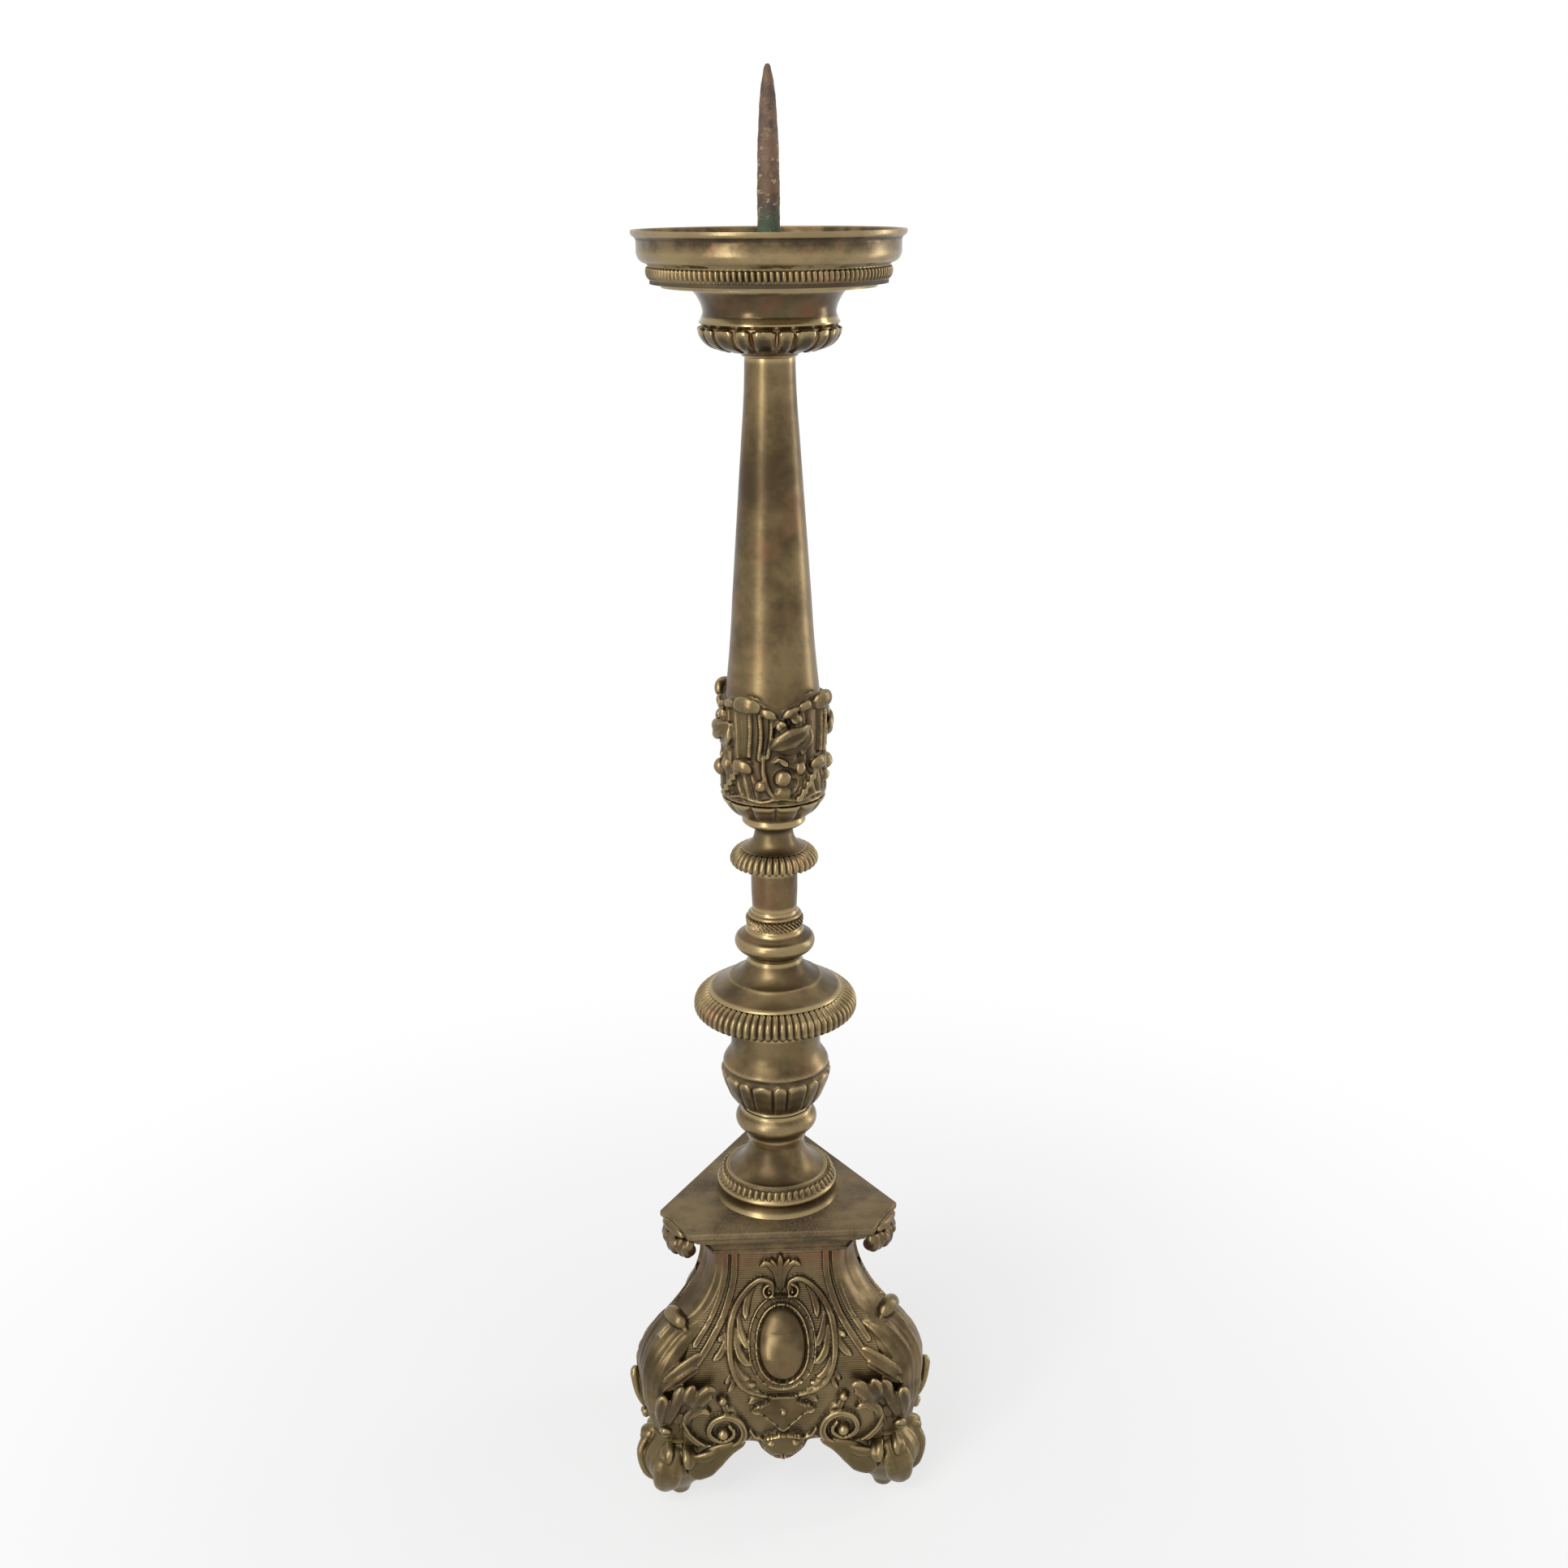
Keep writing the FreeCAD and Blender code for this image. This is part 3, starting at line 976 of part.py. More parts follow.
# Seat washer, spike and the rod that joins it to the nut in the base.
seat_low = standing["capital_neck"] + size("capital_neck_height") * SEAT_SHARE
stand_at(ring("seat_washer", size("seat_washer_radius"), size("seat_washer_thickness"), boss_hole), seat_low)
spike_seat = seat_low + size("seat_washer_thickness")
spike = new_body("pricket_spike")
boss_low = -size("spike_boss_length")
boss_radius = size("spike_boss_radius")
thread_top = boss_low + size("rod_grip") + size("overrun")
spike_corners = [
    (thread_hole, boss_low, 0), (boss_radius, boss_low, 0), (boss_radius, ZERO, 0),
    (size("spike_collar_radius"), ZERO, 0), (size("spike_collar_radius"), size("spike_collar_height"), 0),
    (size("spike_radius"), size("spike_collar_height"), 0),
]
spike_corners += shared_outline(SPIKE_SHARE, size("spike_radius"), size("spike_length"), None)
spike_corners += [(size("spike_tip_radius"), size("spike_length"), 0), (ZERO, size("spike_length"), 0),
                  (ZERO, thread_top, 0), (thread_hole, thread_top, 0)]
spin(spike, "pricket_spike", spike_corners)
stand_at(spike, spike_seat)
rod_foot = nut_low - size("rod_tail")
rod_length = spike_seat + boss_low + size("rod_grip") - rod_foot
rod = new_body("tie_rod")
rod_radius = size("rod_radius")
rod_corners = [(ZERO, ZERO, 0), (rod_radius, ZERO, 0), (rod_radius, rod_length, 0), (ZERO, rod_length, 0)]
spin(rod, "tie_rod", rod_corners)
stand_at(rod, rod_foot)

# Drip pan with its gadrooned ring: it slips over the spike and rests on the capital.
pan_hole = size("spike_radius") + size("pan_play")
stand_at(turned("drip_pan", DRIP_PAN_SHARE, pan_hole), above("capital_neck"))
doc.recompute()
pan_radius = size("drip_pan_radius")
pan_height = size("drip_pan_height")
ring_height = size("pan_gadroon_ring_height")
ring_low = pan_height * PAN_SHOULDER_SHARE - ring_height
gap = size("fit_gap")
waist = pan_radius * PAN_WAIST_SHARE + gap
lip_share = PAN_RING_LIP_SHARE
ring_close = [(waist, ring_height, 0), (waist, pan_height * 0.2 - ring_low, 0),
              (pan_radius * lip_share + gap * 2.0, ZERO, 0)]
pan_ring = turned("pan_gadroon_ring", PAN_GADROON_RING_SHARE, close=ring_close)
flute(pan_ring, PAN_GADROON_RING_SHARE[0:3], gadroon_depth, size("pan_gadroon_count"), GADROON_TURN_SHARE)
stand_at(pan_ring, standing["drip_pan"] + ring_low)

doc.recompute()
for feature in doc.Objects:
    if "Invalid" in feature.State or "Error" in feature.State:
        raise RuntimeError(feature.Name + " is in state " + str(feature.State))
for piece in pieces:
    if piece.Shape.isNull() or not piece.Shape.isValid() or not piece.Shape.Solids:
        raise RuntimeError(piece.Label + " has no valid solid")
os.makedirs("parts", exist_ok=True)
for piece in pieces:
    piece.Shape.exportStep(os.path.join("parts", piece.Label + ".step"))
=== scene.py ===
import math

import bpy
import numpy as np
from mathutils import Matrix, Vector


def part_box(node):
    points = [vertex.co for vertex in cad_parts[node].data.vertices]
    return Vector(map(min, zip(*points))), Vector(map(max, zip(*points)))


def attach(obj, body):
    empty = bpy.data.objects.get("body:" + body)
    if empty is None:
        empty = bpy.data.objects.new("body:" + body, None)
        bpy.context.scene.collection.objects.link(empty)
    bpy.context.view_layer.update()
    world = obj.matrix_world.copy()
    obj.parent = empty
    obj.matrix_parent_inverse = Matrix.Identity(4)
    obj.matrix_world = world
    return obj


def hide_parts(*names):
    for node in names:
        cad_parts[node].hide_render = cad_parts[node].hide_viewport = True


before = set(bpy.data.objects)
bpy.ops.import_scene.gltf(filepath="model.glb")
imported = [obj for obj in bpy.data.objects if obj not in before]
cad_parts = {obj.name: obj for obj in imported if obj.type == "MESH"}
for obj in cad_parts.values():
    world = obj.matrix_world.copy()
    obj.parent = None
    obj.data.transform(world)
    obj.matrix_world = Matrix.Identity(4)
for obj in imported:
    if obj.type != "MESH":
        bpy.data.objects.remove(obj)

bl_info = {
    "name": "Pricket candle stand",
    "version": (1, 0, 0),
    "blender": (4, 5, 0),
    "location": "3D View > Sidebar > Candle Stand",
    "description": "Builds the looks of a turned brass pricket candle stand on a three-sided scroll base",
    "category": "Object",
}

MM = 0.001
SIDES = 3
SIDE_TURN = math.tau / SIDES
LEG_BEARING = math.radians(-30.0)
PANEL_BEARING = math.radians(-90.0)
# the leg's plane of symmetry stands sixty degrees off the panel's
LEG_OFF_PANEL = math.radians(60.0)
LEG_LOW = 40.0 * MM
LEG_HEIGHT = 110.0 * MM
BASE_TOP = LEG_LOW + LEG_HEIGHT
LEG_NECK_REACH = 44.4 * MM
LEG_BELLY = 43.1 * MM
LEG_NECK_HALF = 10.0 * MM
LEG_SWELL = 10.5 * MM
PANEL_LOW = 40.2 * MM
PANEL_HEIGHT = 109.8 * MM
PANEL_NECK_REACH = 30.8 * MM
PANEL_BELLY = 22.2 * MM
FOOT_REACH = 66.0 * MM
# a panel's edge laps this far into the side of a leg, and the leg's face stands this far over it
PANEL_LAP = 1.5 * MM
PANEL_COVER = 2.5 * MM
OUTLINE_STEP = 0.7 * MM
HATCH_PITCH = 1.15 * MM
ARC_STEPS = 10
PLAIN_STEPS = 144
CAP_STEP = 4.0 * MM
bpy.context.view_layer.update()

# Outlines of the turned pieces from below: share of the widest radius, share of the height, and
# the bulge of the arc to the next corner as a share of half its chord.
BELL_FOOT_SHARE = [
    (1.0, 0.0, -0.12), (0.955, 0.19, 0), (0.972, 0.215, 0.4), (0.965, 0.26, 0), (0.84, 0.39, 0),
    (0.812, 0.41, 0.5), (0.755, 0.455, -0.28), (0.445, 0.93, 0), (0.465, 1.0, 0),
]
FOOT_BEAD_RING_SHARE = [(1.0, 0.0, 0.1), (1.0, 0.2, 0.3), (0.87, 1.0, 0)]
LOWER_TORUS_SHARE = [
    (0.75, 0.0, 0), (0.77, 0.08, -0.3), (0.85, 0.32, 0.62), (0.955, 0.83, 0), (0.895, 0.92, -0.2),
    (0.885, 1.0, 0),
]
URN_BOWL_SHARE = [(0.64, 0.0, 0), (0.665, 0.1, 0.2), (0.93, 0.7, 0.1), (0.99, 0.95, 0), (0.995, 1.0, 0)]
URN_NECK_SHARE = [
    (0.985, 0.0, 0.25), (0.99, 0.19, 0.16), (0.9, 0.4, -0.2), (0.812, 0.62, 0), (0.812, 1.0, 0),
]
KNOP_RIM_SHARE = [
    (0.58, 0.0, 0), (0.84, 0.26, 0.2), (0.96, 0.36, 0.32), (1.0, 0.58, 0.3), (0.925, 0.88, 0.12),
    (0.83, 1.0, 0),
]
KNOP_DOME_SHARE = [
    (1.0, 0.0, 0.1), (0.965, 0.07, -0.1), (0.7, 0.37, 0.4), (0.665, 0.42, -0.26), (0.41, 0.9, 0),
    (0.402, 1.0, 0),
]
TORUS_RING_SHARE = [
    (0.67, 0.0, 0), (0.7, 0.13, -0.2), (0.8, 0.24, 0.6), (0.935, 0.72, 0), (0.83, 0.78, 0),
    (0.8, 0.83, -0.3), (0.685, 1.0, 0),
]
ROPE_RING_SHARE = [
    (0.94, 0.0, 0), (0.965, 0.12, 0.1), (0.985, 0.42, 0.4), (0.985, 0.58, 0.1), (0.9, 0.78, -0.2),
    (0.79, 0.9, 0), (0.78, 1.0, 0),
]
STEM_COLLAR_SHARE = [(0.965, 0.0, 0), (0.975, 0.2, 0.02), (1.0, 0.6, 0), (1.0, 1.0, 0)]
UPPER_DISC_SHARE = [
    (0.6, 0.0, 0), (0.86, 0.1, 0.25), (0.985, 0.3, 0.3), (0.985, 0.62, 0.28), (0.73, 1.0, 0),
]
UPPER_NECK_SHARE = [
    (1.0, 0.0, -0.32), (0.6, 0.5, -0.5), (0.72, 0.74, 0.1), (0.95, 0.87, 0.45), (0.96, 1.0, 0),
]
LEAF_CALYX_SHARE = [(0.605, 0.0, 0), (0.64, 0.15, 0.18), (0.93, 0.72, 0.25), (1.0, 1.0, 0)]
SHAFT_TUBE_SHARE = [
    (0.985, 0.0, 0), (1.0, 0.21, -0.02), (0.8, 0.46, 0), (0.565, 0.84, -0.02), (0.495, 1.0, 0),
]
CAPITAL_BOWL_SHARE = [
    (0.355, 0.0, 0), (0.415, 0.06, 0.05), (0.75, 0.24, 0.22), (0.96, 0.56, 0.3), (0.965, 1.0, 0),
]
CAPITAL_NECK_SHARE = [
    (0.88, 0.0, 0), (0.84, 0.24, -0.12), (0.9, 0.68, -0.1), (0.985, 0.94, 0), (1.0, 1.0, 0),
]
PAN_OUTSIDE_SHARE = [
    (0.787, 0.0, 0), (0.79, 0.05, 0), (0.868, 0.2, 0), (0.868, 0.39, 0), (0.888, 0.39, 0),
    (0.888, 0.425, 0.35), (0.955, 0.55, 0.15), (0.9615, 0.66, 0), (0.9615, 0.84, -0.2),
    (0.992, 0.9, 0.3), (0.998, 1.0, 0),
]
PAN_INSIDE_SHARE = [
    (0.98, 1.0, 0), (0.942, 0.84, 0), (0.942, 0.6, 0), (0.93, 0.55, 0), (0.85, 0.46, 0), (0.848, 0.22, 0),
    (0.78, 0.065, 0),
]
PAN_RING_SHARE = [(0.9, 0.0, 0.2), (0.985, 0.4, 0.2), (0.985, 0.93, 0), (0.972, 1.0, 0)]
SPIKE_SHARE = [
    (0.49, 0.29, 0), (0.49, 0.476, 0), (0.48, 0.61, 0.01), (0.4, 0.81, 0.01), (0.27, 0.94, 0),
    (0.16, 0.985, 0.2), (0.07, 1.0, 0),
]

# Faces of the base from below: shares of the way from the reach at the top to that of the belly.
LEG_FACE_SHARE = [
    (0.82, 0.0, 0.05), (0.94, 0.165, 0.12), (1.0, 0.31, 0.14), (0.96, 0.49, 0.12), (0.8, 0.58, 0.1),
    (0.62, 0.64, 0), (0.37, 0.68, -0.14), (0.12, 0.78, -0.12), (0.0, 0.91, 0), (0.0, 1.0, 0),
]
LEG_WIDTH_SHARE = [
    (0.62, 0.0, 0.1), (0.95, 0.15, 0), (1.0, 0.28, 0), (1.0, 0.45, 0.1), (0.25, 0.65, 0), (0.15, 0.8, 0),
    (0.0, 0.92, 0), (0.0, 1.0, 0),
]
PANEL_FACE_SHARE = [
    (0.82, 0.0, 0.1), (1.0, 0.286, 0.12), (0.887, 0.51, 0.08), (0.6, 0.605, 0), (0.35, 0.6875, -0.1),
    (0.0, 0.91, 0), (0.0, 1.0, 0),
]


def clear_selection():
    """Leave edit mode and let go of everything."""
    if bpy.context.mode != "OBJECT":
        bpy.ops.object.mode_set(mode="OBJECT")
    bpy.ops.object.select_all(action="DESELECT")


def pick(piece):
    """Select one piece and nothing else."""
    clear_selection()
    piece.select_set(True)
    bpy.context.view_layer.objects.active = piece


def finish_piece(piece, name, body, slot, *nodes):
    """Name a piece, put its place in its mesh, hide the nodes that it stands for and hang it under its body.
    """
    pick(piece)
    bpy.ops.object.transform_apply(location=True, rotation=True, scale=True)
    piece.name = name
    piece.data.name = name
    if nodes:
        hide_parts(*nodes)
    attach(piece, body)


def arc_points(start, end, bulge, steps):
    """Points from one corner towards the next along its arc, without the last."""
    start = np.array(start)
    end = np.array(end)
    if not bulge:
        return [start]
    half = (end - start) / 2.0
    right = np.array((half[1], -half[0]))
    half_turn = 2.0 * math.atan(bulge)
    centre = start + half - right / math.tan(half_turn)
    radial = start - centre
    points = []
    for share in np.linspace(0.0, 1.0, steps + 1)[:-1]:
        turn = 2.0 * half_turn * share
        points.append(centre + np.array((radial[0] * math.cos(turn) - radial[1] * math.sin(turn),
                                         radial[0] * math.sin(turn) + radial[1] * math.cos(turn))))
    return points


def real_outline(shares, radius, height):
    """A list of corners in shares as a line of real points."""
    corners = [(across * radius, up * height) for across, up, bulge in shares]
    points = []
    for number in range(len(corners) - 1):
        points += arc_points(corners[number], corners[number + 1], shares[number][2], ARC_STEPS)
    points.append(np.array(corners[-1]))
    return np.array(points)


def even_line(points, step):
    """The same line with points at equal distances."""
    gaps = np.hypot(*np.diff(points, axis=0).T)
    along = np.concatenate(([0.0], np.cumsum(gaps)))
    count = max(2, int(round(along[-1] / step)))
    places = np.linspace(0.0, along[-1], count + 1)
    return np.stack([np.interp(places, along, points[:, axis]) for axis in range(points.shape[1])], axis=1)


def worn(points, rounds):
    """Round the corners of a line a little."""
    points = points.copy()
    for _ in range(rounds):
        points[1:-1] = 0.25 * points[:-2] + 0.5 * points[1:-1] + 0.25 * points[2:]
    return points


def joined_outline(parts, step, rounds):
    """The outer line of turned nodes that stand on one another."""
    lines = [node_outline(node, shares, step, 0) for node, shares in parts]
    return worn(np.concatenate([lines[0]] + [line[1:] for line in lines[1:]]), rounds)


def node_outline(node, shares, step=OUTLINE_STEP, rounds=1):
    """The outer line of a turned node, scaled to the node's own box."""
    low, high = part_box(node)
    middle = (low + high) / 2.0
    reach = high.x - middle.x
    height = high.z - low.z
    radius = reach / max(share[0] for share in shares)
    line = real_outline(shares, radius, height)
    line[:, 0] *= reach / line[:, 0].max()
    line = worn(even_line(line, step), rounds)
    line[:, 1] += low.z
    return line


def spin_line(line, steps, centre=(0.0, 0.0)):
    """Draw a closed outline from one point by extrusion and spin it into a solid of revolution."""
    clear_selection()
    first = Vector((line[0][0], 0.0, line[0][1]))
    bpy.ops.mesh.primitive_plane_add(size=MM, location=first)
    piece = bpy.context.active_object
    bpy.ops.object.transform_apply(location=True)
    bpy.ops.object.mode_set(mode="EDIT")
    bpy.ops.mesh.merge(type="CENTER")
    for before, after in zip(line[:-1], line[1:]):
        step = (after[0] - before[0], 0.0, after[1] - before[1])
        bpy.ops.mesh.extrude_region_move(TRANSFORM_OT_translate={"value": step})
    bpy.ops.mesh.select_all(action="SELECT")
    bpy.ops.mesh.spin(steps=steps, angle=math.tau, center=(0.0, 0.0, 0.0), axis=(0.0, 0.0, 1.0))
    bpy.ops.mesh.select_all(action="SELECT")
    bpy.ops.mesh.remove_doubles(threshold=0.005 * MM)
    bpy.ops.mesh.normals_make_consistent(inside=False)
    bpy.ops.transform.translate(value=(centre[0], centre[1], 0.0))
    bpy.ops.object.mode_set(mode="OBJECT")
    return piece


def closed_ring(line, hole):
    """Close an outer line over its ends and down a hole."""
    top = even_line(np.array([line[-1], (hole, line[-1][1])]), CAP_STEP)[1:]
    bottom = even_line(np.array([(hole, line[0][1]), line[0]]), CAP_STEP)
    return np.concatenate((line, top, bottom))


def mesh_points(piece):
    """The places of a piece's points."""
    count = len(piece.data.vertices)
    points = np.empty(count * 3)
    piece.data.vertices.foreach_get("co", points)
    return points.reshape(-1, 3)


def mesh_normals(piece):
    """The directions out of a piece at its points."""
    count = len(piece.data.vertices)
    normals = np.empty(count * 3)
    piece.data.vertices.foreach_get("normal", normals)
    return normals.reshape(-1, 3)


def place_points(piece, points):
    piece.data.vertices.foreach_set("co", np.ascontiguousarray(points, dtype=np.float32).ravel())
    piece.data.update()


def write_values(piece, name, values):
    """Keep a number for each point of a piece."""
    layer = piece.data.attributes.new(name, "FLOAT", "POINT")
    layer.data.foreach_set("value", values.astype(np.float32))


def smooth_step(values):
    """Values from 0 to 1 with eased ends."""
    values = np.clip(values, 0.0, 1.0)
    return values * values * (3.0 - 2.0 * values)


def press_lobes(piece, count, depth, low, high, fullness, arch=(0.0, 0.0), slant=0.0, broad=0.5, inner=0.0):
    """Press the grooves between lobes into a band of a turned piece.

    Lobes go round in pairs of a broad and a narrow one; arch rounds their ends."""
    points = mesh_points(piece)
    normals = mesh_normals(piece)
    reach = np.hypot(points[:, 0], points[:, 1])
    share = (points[:, 2] - low) / (high - low)
    turn = np.arctan2(points[:, 1], points[:, 0]) + slant * (share - 0.5)
    place = np.mod(turn / math.tau * count / 2.0, 1.0)
    wide = place < broad
    side = np.where(wide, place / broad, (place - broad) / (1.0 - broad)) * 2.0 - 1.0
    across = 1.0 - np.abs(side) ** fullness
    soft = 0.1
    upper = smooth_step((1.0 - arch[1] * side ** 2 - share) / soft)
    lower = smooth_step((share - arch[0] * side ** 2) / soft)
    inside = smooth_step((share + soft) / soft) * smooth_step((1.0 + soft - share) / soft)
    groove = depth * (1.0 - across * upper * lower) * inside
    groove[reach < inner] = 0.0
    place_points(piece, points - normals * groove[:, None])


def mark_wear_and_shade(piece, rounds=14, scale=0.3 * MM):
    """Write how far each point stands proud of its surroundings: rubbed bright, or grime and painted shade.
    """
    mesh = piece.data
    mesh.update()
    points = mesh_points(piece)
    normals = mesh_normals(piece)
    edges = np.empty(len(mesh.edges) * 2, dtype=np.int64)
    mesh.edges.foreach_get("vertices", edges)
    edges = edges.reshape(-1, 2)
    count = len(points)
    ties = np.bincount(edges.ravel(), minlength=count).astype(float)
    ties[ties == 0.0] = 1.0
    level = points.copy()
    for turn in range(rounds * 4):
        total = np.empty_like(level)
        for axis in range(3):
            column = level[:, axis]
            total[:, axis] = (np.bincount(edges[:, 0], weights=column[edges[:, 1]], minlength=count)
                              + np.bincount(edges[:, 1], weights=column[edges[:, 0]], minlength=count))
        level = 0.4 * level + 0.6 * total / ties[:, None]
        if turn == rounds - 1:
            near = level.copy()
    # hollows, near and broad, are marked low: grime together with painted shade
    proud = np.einsum("ij,ij->i", points - near, normals) / scale
    broad = np.einsum("ij,ij->i", points - level, normals) / (4.0 * scale)
    # painted shade: faces that look down are marked darker, as if shade fell under them
    under = np.clip(-normals[:, 2] - 0.2, 0.0, 1.0)
    values = 0.5 + 0.36 * np.tanh(proud) + 0.2 * np.tanh(broad) - 0.14 * under
    write_values(piece, "wear_and_shade", np.clip(values, 0.0, 1.0))


def dress(piece, material, degrees=42.0):
    """Shade a piece smooth up to an angle and give it its finish."""
    pick(piece)
    bpy.ops.object.shade_smooth_by_angle(angle=math.radians(degrees))
    piece.data.materials.append(material)


def turned_piece(node, shares, finish="turned_brass", slot="turned_brass", body="stand", steps=PLAIN_STEPS,
                 hole=None, lobes=None, rounds=1, step=OUTLINE_STEP, wear_and_shade_rounds=14, above=()):
    """Turn one piece of the stem, press its lobes and finish it; above lists nodes made in one with it."""
    hole = hole or bpy.context.scene.candle_stand.stem.rod_hole
    line = joined_outline(((node, shares),) + above, step, rounds)
    piece = spin_line(closed_ring(line, hole), steps)
    if lobes:
        low, high = line[0][1], line[-1][1]
        start, end = lobes.pop("band")
        press_lobes(piece, low=low + (high - low) * start, high=low + (high - low) * end,
                    inner=hole + 0.8 * MM, **lobes)
    mark_wear_and_shade(piece, wear_and_shade_rounds, 0.45 * MM)
    dress(piece, finish_named(finish))
    finish_piece(piece, node + "_turned", body, slot, node, *[part[0] for part in above])


class Relief:
    """Heights over a field of places across and up, from which carved work is made."""

    def __init__(self, across, up):
        self.across = across
        self.up = up
        self.height = np.zeros_like(across)

    def beside(self, points, reach):
        """The places near a line: which ones, how far to its side and how far along as a share."""
        points = np.array(points)
        low = points.min(axis=0) - reach
        high = points.max(axis=0) + reach
        near = (self.across > low[0]) & (self.across < high[0]) & (self.up > low[1]) & (self.up < high[1])
        across = self.across[near]
        up = self.up[near]
        steps = np.diff(points, axis=0)
        lengths = np.hypot(steps[:, 0], steps[:, 1])
        before = np.concatenate(([0.0], np.cumsum(lengths)))
        best = np.full(across.shape, 1e9)
        side = np.zeros_like(across)
        along = np.zeros_like(across)
        for start, step, length, gone in zip(points[:-1], steps, lengths, before[:-1]):
            off_across = across - start[0]
            off_up = up - start[1]
            share = np.clip((off_across * step[0] + off_up * step[1]) / (length * length), 0.0, 1.0)
            distance = np.hypot(off_across - share * step[0], off_up - share * step[1])
            closer = distance < best
            best = np.where(closer, distance, best)
            turn = np.sign(step[0] * off_up - step[1] * off_across)
            side = np.where(closer, turn, side)
            along = np.where(closer, (gone + share * length) / before[-1], along)
        return near, best * side, along

    def lift(self, near, heights):
        self.height[near] = np.maximum(self.height[near], heights)

    def ridge(self, points, width, rise, ends=(1.0, 1.0), groove=0.0):
        """A rounded moulding along a line, with an optional hollow down its middle."""
        near, side, along = self.beside(points, width)
        half = width * np.interp(along, (0.0, 0.5, 1.0), (ends[0], 1.0, ends[1])) / 2.0
        across = np.clip(np.abs(side) / half, 0.0, 1.0)
        heights = rise * np.sqrt(1.0 - across ** 2) - groove * np.exp(-(across / 0.35) ** 2)
        scale = np.interp(along, (0.0, 0.5, 1.0), (ends[0] ** 0.5, 1.0, ends[1] ** 0.5))
        self.lift(near, np.where(across < 1.0, heights * scale, 0.0))

    def scroll(self, centre, radius, turns, start, way, width, rise, eye):
        """A moulding that winds into an eye."""
        points = []
        for share in np.linspace(0.0, 1.0, int(28 * turns)):
            reach = radius * (1.0 - share) + eye * share
            turn = start + way * turns * math.tau * share
            points.append((centre[0] + reach * math.cos(turn), centre[1] + reach * math.sin(turn)))
        self.ridge(points, width, rise, (1.0, 0.6))
        self.dome(centre, eye * 0.95, eye * 0.95, rise * 1.3)

    def dome(self, centre, half_width, half_height, rise, fullness=2.0):
        away = np.hypot((self.across - centre[0]) / half_width, (self.up - centre[1]) / half_height)
        heights = rise * np.sqrt(np.clip(1.0 - np.clip(away, 0.0, 1.0) ** fullness, 0.0, 1.0))
        self.height = np.maximum(self.height, np.where(away < 1.0, heights, 0.0))

    def band(self, points, width, rise, soft=0.4):
        """A flat strap with eased edges."""
        near, side, along = self.beside(points, width)
        across = np.abs(side) / (width / 2.0)
        self.lift(near, rise * smooth_step((1.0 - across) / soft))

    def lobe(self, points, width, rise, crease=0.2):
        """A leaf lobe that swells and lifts towards its rounded tip."""
        near, side, along = self.beside(points, width)
        swell = np.interp(along, (0.0, 0.3, 0.65, 0.88, 1.0), (0.4, 0.75, 1.0, 0.85, 0.35))
        across = np.abs(side) / (width / 2.0 * swell)
        lift = np.interp(along, (0.0, 0.5, 0.9, 1.0), (0.35, 0.65, 1.0, 0.9))
        body = np.sqrt(np.clip(1.0 - across ** 2, 0.0, 1.0)) - crease * np.exp(-(across / 0.3) ** 2)
        self.lift(near, np.where(across < 1.0, rise * lift * body, 0.0))

    def cut(self, points, width, depth):
        near, side, along = self.beside(points, width)
        across = np.clip(np.abs(side) / (width / 2.0), 0.0, 1.0)
        self.height[near] -= depth * (1.0 - smooth_step(across))


def flowing(points, per_span=8):
    """A smooth line through points."""
    points = np.array(points, dtype=float)
    padded = np.concatenate(([2 * points[0] - points[1]], points, [2 * points[-1] - points[-2]]))
    line = []
    for number in range(1, len(padded) - 2):
        before, start, end, after = padded[number - 1:number + 3]
        for share in np.arange(per_span) / per_span:
            line.append(0.5 * ((2 * start) + (end - before) * share
                               + (2 * before - 5 * start + 4 * end - after) * share ** 2
                               + (3 * start - before - 3 * end + after) * share ** 3))
    line.append(points[-1])
    return np.array(line)


def in_mm(points):
    return np.array(points, dtype=float) * MM


def both_sides(points):
    """A line and its mirror image."""
    points = np.array(points, dtype=float)
    return points, points * np.array((-1.0, 1.0))


def sheet_piece(points):
    """A grid whose points are put in rows and columns where the shape has them; equal points are merged."""
    rows, columns = points.shape[:2]
    clear_selection()
    bpy.ops.mesh.primitive_grid_add(x_subdivisions=columns - 1, y_subdivisions=rows - 1, size=1.0)
    piece = bpy.context.active_object
    place_points(piece, points.reshape(-1, 3))
    bpy.ops.object.mode_set(mode="EDIT")
    bpy.ops.mesh.select_all(action="SELECT")
    bpy.ops.mesh.remove_doubles(threshold=0.01 * MM)
    bpy.ops.mesh.normals_make_consistent(inside=False)
    bpy.ops.object.mode_set(mode="OBJECT")
    return piece


